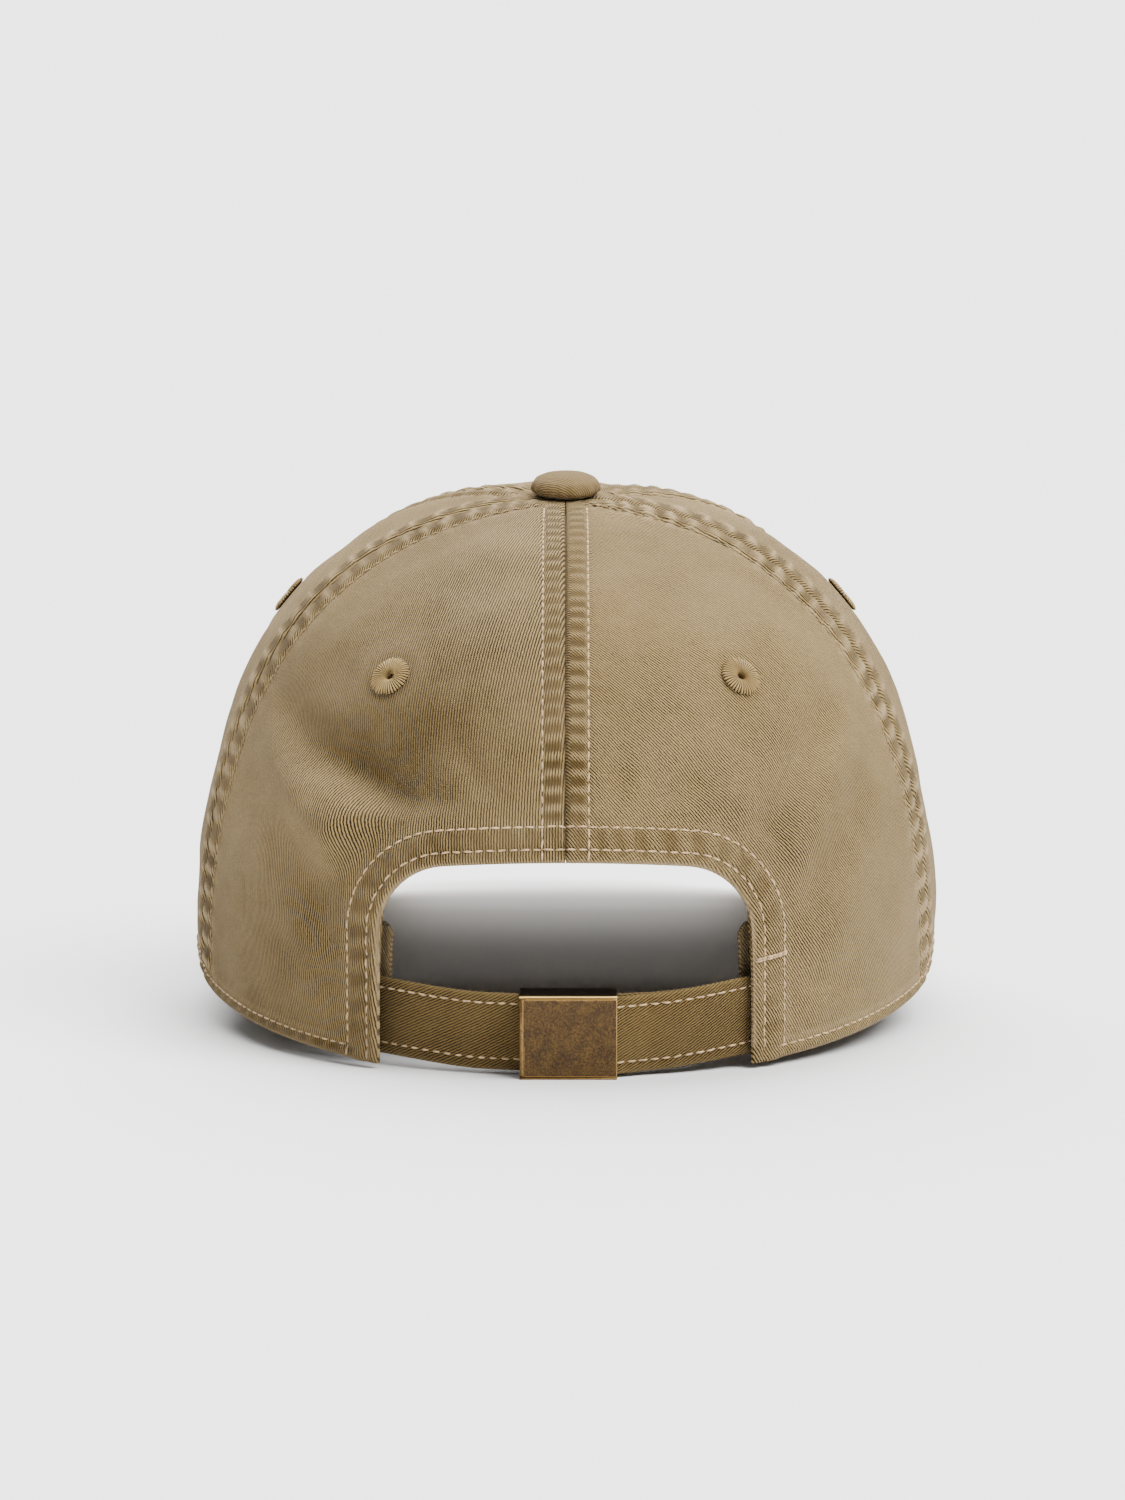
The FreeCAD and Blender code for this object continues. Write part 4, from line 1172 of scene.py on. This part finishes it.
def strip(label, node, az0, depth, low, high):
    """A seam tape with folded edges and a slight pucker."""
    climb = np.linspace(low, high, 110)
    across = TAPE_HALF * np.sin(np.linspace(-PI / 2, PI / 2, 19))
    grid_climb = np.broadcast_to(climb[None, :], (19, 110))
    p = outer(np.full_like(climb, az0), climb)
    radius = from_axis(p)
    az = az0 + across[:, None] / radius[None, :]
    s = arc_length(az, grid_climb)
    e = np.broadcast_to(across[:, None], az.shape)
    ripple = np.sin(2 * PI * s / 5.4 + 2 * line_noise(s, 12, 51)) * 0.12
    ripple = ripple + 0.25 * bump(np.abs(e), 5.2, 0.8) - 0.2 * bump(np.abs(e), 4.5, 0.4)
    top, outward = crown(az, grid_climb, depth)
    bottom = top - outward * (0.45 + ripple)[..., None]
    wear_and_painted_light = bump(np.abs(e), 5.8, 0.5)
    cloth(label, lean(top), lean(bottom), turn_weave(e, s, 45), wear_and_painted_light, TAPE_TWILL, "tape", node)
    rows = []
    for side in (-SEAM_ROW, SEAM_ROW):
        p, out = crown(az0 + side / radius, climb, depth + 0.5)
        rows.append((lean(p), -lean_direction(out)))
    return rows


def tape_span(az0, foot):
    """The climbs between which a tape lies, which stops where it would meet its neighbours."""
    trial = np.linspace(0, 1.54, 400)
    p = outer(np.full_like(trial, az0), trial)
    low = np.interp(foot, p[:, 2], trial)
    radius = from_axis(p)
    high = min(math.radians(82.0), np.interp(-(2 * TAPE_HALF + 1.0), -radius, trial))
    return low, high


TAPES = {
    "center_back": (0.0, 1.15, ARCH[1] + 10.5),
    "rear_right": (REAR_SEAM, 1.15, 23.0),
    "rear_left": (-REAR_SEAM, 1.15, 23.0),
    "front_right": (FRONT_SEAM, 1.8, 23.0),
    "front_left": (-FRONT_SEAM, 1.8, 23.0),
    "center_front": (PI, 1.8, 23.0),
}
tape_rows = []
for side, (az0, depth, foot) in TAPES.items():
    tape_rows += strip("tape_" + side, "seam_tape_" + side, az0, depth, *tape_span(az0, foot))
stitches("tape_stitching", tape_rows, THREAD_PITCH, 1.9, 0.2)


def facing():
    """The bias strip behind the arch."""
    columns, rows = [], np.linspace(0.7, 9.0, 16)
    for grow in rows:
        path = bowed_path(ARCH, 1.2, grow, 0.5)
        steps = path_steps(path)
        place = np.linspace(0, steps[-1], 300)
        columns.append(resample(path, steps, place))
    plan = np.stack(columns, 1)
    az, climb = find_on_back(plan[..., 0], plan[..., 1])
    s = np.broadcast_to(np.linspace(0, 130, 300)[:, None], az.shape)
    d = np.broadcast_to(rows[None, :], az.shape)
    top, outward = crown(az, climb, 1.15)
    ripple = 0.08 * np.sin(2 * PI * s / 5.0) + 0.12 * bump(d, 8.2, 0.6)
    ripple = ripple - 0.12 * (bump(d, HEM_ROWS[0], 0.5) + bump(d, HEM_ROWS[1], 0.5))
    faces = lean(top), lean(top - outward * (0.42 + ripple)[..., None])
    weave, wear_and_painted_light = turn_weave(s, d, 45), bump(d, 0.7, 0.8)
    cloth("arch_binding", *faces, weave, wear_and_painted_light, TAPE_TWILL, "tape", "arch_facing")


facing()


def lining(side, start, end):
    foot, reach = math.radians(3), TOP_CLIMB - math.radians(15)
    az, climb = panel_grid(start, end, 60, 70, foot)
    climb = foot + (climb - foot) * reach / (TOP_CLIMB - foot)
    az, climb, cell = open_eyelet(az, climb, EYELETS["eyelet_front_" + side], 4.7, 12.0)
    top, outward = crown(az, climb, 1.15)
    faces = lean(top), lean(top - outward * 0.42)
    weave, node = flat_weave(az, climb, (start + end) / 2, 8), "lining_front_" + side
    cloth("buckram_" + side, *faces, weave, az * 0, MESH, "lining_mesh", node, hole=cell)


lining("right", FRONT_SEAM, PI)
lining("left", -PI, -FRONT_SEAM)


# ---------------------------------------------------------------- straps

def sagged(points):
    """Lifts a strap's ends, so that its middle hangs a little under the clasp's weight."""
    lift = 1.7 * smooth(np.abs(points[..., 0] - ASIDE), 17, 46)
    return points + vec(0, 0, lift)


def strap_place(points):
    """From the strap's plan frame, round its vertical axis, to the table."""
    rise = (WALL - STRAP_OUT + 0.6) * math.sin(STRAP_LEAN)
    return sagged(points + np.array([ASIDE, SHIFT - STRAP_AXIS, STRAP_MIDDLE + rise]))


def clasp_matrix():
    base = Matrix.Translation((ASIDE, SHIFT - STRAP_AXIS - WALL, STRAP_MIDDLE))
    return np.array(base @ Matrix.Rotation(STRAP_LEAN, 4, "X"))


CLASP = clasp_matrix()


def strap_relief(s, v, seed):
    """Height and fading of a folded strap, s along it and v across it from the middle."""
    edge = STRAP_HALF - np.abs(v)
    phase = 2 * line_noise(s, 14, seed)
    ripple = np.sin(2 * PI * (s / 6.3 + 0.03 * v) + phase)
    height = 0.16 * smooth(edge, 0, 2.2) - 0.26 * bump(edge, STRAP_TOP_ROW, 0.5)
    height = height - 0.45 * np.exp(-((edge / 0.45) ** 2))
    height = height + 0.09 * ripple * bump(edge, 1.2, 1.4) + 0.10 * noise(vec(s, v), 9, seed)
    wear_and_painted_light = 0.75 * np.exp(-((edge / 0.7) ** 2)) + 0.2 * bump(edge, 1.3, 0.9) * smooth(ripple, 0, 1)
    return height, wear_and_painted_light


def long_strap():
    turn = np.linspace(-STRAP_TURN, STRAP_TURN, 260)
    v = STRAP_HALF * (1 - 2 * graded(44, 0.55))
    turn, v = np.meshgrid(turn, v, indexing="ij")
    s = turn * STRAP_OUT
    height, wear_and_painted_light = strap_relief(s, v, 61)

    def face(offset):
        r = STRAP_OUT + v * math.sin(STRAP_LEAN) + offset
        return strap_place(vec(r * np.sin(turn), -r * np.cos(turn), v * math.cos(STRAP_LEAN)))

    low_height, _ = strap_relief(s + 300, v, 62)
    faces = face(height * 0.6 - 0.05), face(-1.15 - low_height * 0.4)
    look = STRAP_TWILL, "strap_twill", "long_strap"
    cloth("adjusting_strap", *faces, turn_weave(s, v, -62), wear_and_painted_light, *look, body="long_strap")
    rows = []
    for row in (STRAP_HALF - STRAP_TOP_ROW, -STRAP_HALF + STRAP_LOW_ROW):
        angle = np.linspace(-STRAP_TURN + 0.01, STRAP_TURN - 0.01, 300)
        r = STRAP_OUT + row * math.sin(STRAP_LEAN) - 0.12
        points = strap_place(vec(r * np.sin(angle), -r * np.cos(angle), row * math.cos(STRAP_LEAN)))
        rows.append((points, vec(np.sin(angle), -np.cos(angle))))
    stitches("adjusting_strap_stitching", rows, *STRAP_STITCH, "long_strap")


long_strap()


def short_strap():
    """Runs in from the right, loops round the clasp's bar and comes back behind itself."""
    def plan(radius, angle):
        return np.stack([radius * np.sin(angle), WALL - radius * np.cos(angle)], -1)

    bar, turn_radius = np.array([8.6, 2.6]), 1.3
    main = plan(SHORT_OUT - 0.3, np.linspace(STRAP_TURN, SHORT_SPLIT, 150))
    around = np.linspace(-PI / 2, -3 * PI / 2, 24)
    loop = bar + turn_radius * np.stack([np.cos(around), np.sin(around)], -1)
    back = plan(SHORT_OUT - 0.92, np.array([SHORT_SPLIT * 0.99, SHORT_SPLIT * 1.25]))
    to_loop = np.linspace(main[-1], loop[0], 20)[1:-1]
    from_loop = np.linspace(loop[-1], back[0], 14)[1:]
    path = np.concatenate([main, to_loop, loop, from_loop, back[1:]])
    s = path_steps(path)
    tangent = unit(np.gradient(path, axis=0))
    out = np.stack([-tangent[:, 1], tangent[:, 0]], -1)
    if out[0, 1] > 0:
        out = -out
    main_end = s[len(main) - 1]
    thick = 0.52 + 0.6 * (1 - smooth(s, main_end - 14, main_end - 4))
    v = STRAP_HALF * (1 - 2 * graded(44, 0.55))
    grid_s, grid_v = np.meshgrid(s, v, indexing="ij")
    height, wear_and_painted_light = strap_relief(grid_s, grid_v, 63)
    visible = 1 - smooth(grid_s, main_end + 2, main_end + 6)

    def face(offset):
        xy = path[:, None, :] + out[:, None, :] * offset[..., None]
        return sagged(placed(np.concatenate([xy, grid_v[..., None]], -1), CLASP))

    inner = 0.25 - thick[:, None] + height * 0
    faces = face(0.25 + height * (0.2 + 0.5 * visible) - 0.1), face(inner)
    look = STRAP_TWILL, "strap_twill", "short_strap"
    cloth("sewn_strap", *faces, turn_weave(grid_s, grid_v, 62), wear_and_painted_light, *look)
    rows = []
    keep = (np.arange(len(s)) < len(main) + 18) & (path[:, 0] > 8.7)
    for row in (STRAP_HALF - STRAP_TOP_ROW, -STRAP_HALF + STRAP_LOW_ROW):
        points = np.column_stack([path[keep] + out[keep] * 0.16, np.full(keep.sum(), row)])
        outward = np.column_stack([out[keep], np.zeros(keep.sum())]) @ CLASP[:3, :3].T
        rows.append((sagged(placed(points, CLASP)), outward))
    stitches("sewn_strap_stitching", rows, *STRAP_STITCH)


short_strap()


# ---------------------------------------------------------------- clasp

def from_lowest(face):
    """A face's vertices in the same order, with the lowest first."""
    first = face.index(min(face))
    return face[first:] + face[:first]


def rounded_box(low, high, radius, segments=3, cuts=0):
    """Vertices, faces and edge wear of a box with rounded edges."""
    work = bmesh.new()
    low, high = np.array(low, float), np.array(high, float)
    place = Matrix.Translation((low + high) / 2) @ Matrix.Diagonal((*(high - low), 1))
    bmesh.ops.create_cube(work, size=1.0, matrix=place)
    rounding = {"segments": segments, "profile": 0.5, "affect": "EDGES"}
    bmesh.ops.bevel(work, geom=work.edges[:], offset=radius, **rounding)
    if cuts:
        long_edges = [e for e in work.edges if e.calc_length() > 4 * radius]
        bmesh.ops.subdivide_edges(work, edges=long_edges, cuts=cuts, use_grid_fill=True)
    work.verts.ensure_lookup_table()
    points = np.array([v.co for v in work.verts])
    faces = sorted(from_lowest([v.index for v in f.verts]) for f in work.faces)
    work.free()
    flat = (np.abs(points - low) < 1e-6) | (np.abs(points - high) < 1e-6)
    inner = ((points > low + radius * 0.99) & (points < high - radius * 0.99)).sum(1)
    return points, faces, np.where(flat.any(1) & (inner >= 2), 0.0, 1.0)


def tube(radius, bore, low, high, x, y, sides=48):
    edge = 0.14
    lower = [(radius - edge, low), (radius, low + edge)]
    upper = [(radius, high - edge), (radius - edge, high)]
    points, faces = lathe(lower + upper + [(bore, high), (bore, low)], sides)
    points = points + np.array([x, y, 0])
    return points.reshape(-1, 3), faces, np.full(points.shape[0] * points.shape[1], 0.6)


def joined(label, parts, body, node):
    points, faces, wear_and_painted_light, base = [], [], [], 0
    for p, f, w in parts:
        points.append(p)
        wear_and_painted_light.append(w)
        faces += [tuple(base + k for k in face) for face in f]
        base += len(p)
    points = placed(np.concatenate(points), CLASP)
    obj = new_object(label, points, faces, None, np.concatenate(wear_and_painted_light))
    obj.data.polygons.foreach_set("use_smooth", [True] * len(obj.data.polygons))
    return finish_piece(obj, body, BRASS, "brass", node)


def clasp_cover():
    low, high = (-10.1, CLASP_FACE, -PLATE_HALF), (CLASP_HALF, 0.45, PLATE_HALF)
    points, faces, wear_and_painted_light = rounded_box(low, high, 0.26, 3, 22)
    to_end = CLASP_HALF - np.abs(points[:, 0] - 0.35) + 0.35
    edge = np.minimum(to_end, PLATE_HALF - np.abs(points[:, 2]))
    dent = 0.05 * noise(points * (1, 0, 1), 4.0, 71)
    points[:, 1] += dent * smooth(edge, 0.3, 2.0)
    wear_and_painted_light = np.maximum(wear_and_painted_light, 0.75 * np.exp(-((edge / 0.30) ** 2)))
    # The plate's top edge is rubbed brighter than its other edges, as a painted highlight.
    wear_and_painted_light = np.maximum(wear_and_painted_light, 1.2 * np.exp(-(((PLATE_HALF - points[:, 2]) / 0.35) ** 2)))
    jaw = rounded_box((-9.95, 0.8, -7.8), (-9.25, 4.4, 7.8), 0.15)
    parts = [(points, faces, wear_and_painted_light), tube(1.15, 0.61, -PLATE_HALF, PLATE_HALF, -9.6, 0.8), jaw]
    joined("cover_plate", parts, "clasp_cover", "clasp_cover")


def clasp_frame():
    low, high = (-CLASP_HALF, CLASP_FACE, RAIL_IN), (CLASP_HALF, CLASP_REAR, RAIL_OUT)
    points, faces, _ = rounded_box(low, high, 0.14, 3, 12)
    low, high = (-CLASP_HALF, CLASP_FACE, -RAIL_OUT), (CLASP_HALF, CLASP_REAR, -RAIL_IN)
    # The top rail's front face is a painted highlight, and the rest of that rail is painted near
    # black as painted shade of the gap behind the plate.
    parts = [
        (points, faces, np.where(points[:, 1] > 0.3, -1.0, 1.6)),
        rounded_box(low, high, 0.14),
        rounded_box((-CLASP_HALF, 6.6, -9.3), (-8.2, CLASP_REAR, 9.3), 0.2),
        rounded_box((8.2, 6.6, -9.3), (CLASP_HALF, CLASP_REAR, 9.3), 0.2),
        tube(0.6, 0.05, -9.3, 9.3, 8.6, 2.6, 24),
    ]
    joined("clasp_body", parts, "crown", "clasp_frame")


clasp_cover()
clasp_frame()


# ---------------------------------------------------------------- CAD pieces that are left showing

SHOWN = {
    "button_shell": STEEL,
    "button_rivet": STEEL,
    "button_washer": STEEL,
    "peak_board": BOARD,
    "clasp_pin": BRASS,
}
for node, material in SHOWN.items():
    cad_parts[node].data.materials.clear()
    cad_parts[node].data.materials.append(material)


# ---------------------------------------------------------------- floor, light and camera

def floor_material():
    n = Nodes("pale_floor")
    n.colour((228, 228, 228))
    n.set(Roughness=1.0, Specular_IOR_Level=0.0)
    return n.material


bpy.ops.mesh.primitive_plane_add(size=90, location=(0, 30, 0))
floor = bpy.context.object
floor.name = "floor"
floor.data.materials.append(floor_material())


def world_light(strength):
    world = bpy.data.worlds.new("studio")
    bpy.context.scene.world = world
    world.use_nodes = True
    back = world.node_tree.nodes["Background"]
    back.inputs["Color"].default_value = (1.0, 1.0, 1.0, 1.0)
    back.inputs["Strength"].default_value = strength


def add_light(name, kind, energy, **settings):
    light = bpy.data.lights.new(name, kind)
    light.energy = energy
    for setting, value in settings.items():
        setattr(light, setting, value)
    obj = bpy.data.objects.new(name, light)
    bpy.context.collection.objects.link(obj)
    return obj


def point_back(obj, direction):
    """Turns an object so that its back, the side away from its view or light, faces a direction."""
    obj.rotation_mode = "QUATERNION"
    obj.rotation_quaternion = direction.to_track_quat("Z", "Y")


def sun(name, energy, angle, direction):
    light = add_light(name, "SUN", energy, angle=math.radians(angle))
    point_back(light, Vector(direction).normalized())


world_light(0.4)
sun("soft_key", 6.6, 40, (0.62, -0.35, 1.0))
sun("soft_top", 9.0, 60, (-0.1, 0.7, 1.0))
sun("soft_front", 1.5, 60, (0.0, 1.0, 0.28))


# The light that comes in under the peak and fades on its way back inside the crown, in metres. It
# is made of strips that point down and are not seen. Those near the peak's edge hang lower.
STRIP_WIDTH, STRIP_DEPTH, NEAR_EDGE, BRIGHTEST, FADE_LENGTH = 0.088, 0.012, 0.1, 0.129, 0.055
for number in range(12):
    y = 0.127 - STRIP_DEPTH * number
    glow = 0.25 + 2.3 * math.exp(-(((BRIGHTEST - y) / FADE_LENGTH) ** 2))
    shape = {"shape": "RECTANGLE", "size": STRIP_WIDTH, "size_y": STRIP_DEPTH}
    power = glow * STRIP_WIDTH * STRIP_DEPTH
    light = add_light("under_peak_%d" % number, "AREA", power, **shape)
    light.location = (0, y, 0.0085 if y > NEAR_EDGE else 0.0125)
    light.visible_camera = False

camera = bpy.data.objects.new("camera", bpy.data.cameras.new("camera"))
bpy.context.collection.objects.link(camera)
bpy.context.scene.camera = camera
elevation, distance = math.radians(7.86), 1.4
target = Vector((0, -0.0352, 0.0596))
toward = Vector((0, -math.cos(elevation), math.sin(elevation)))
camera.location = target + toward * distance
point_back(camera, toward)
camera.data.sensor_width = 36
camera.data.lens = 142.3
camera.data.shift_x = -0.002
camera.data.clip_end = 200
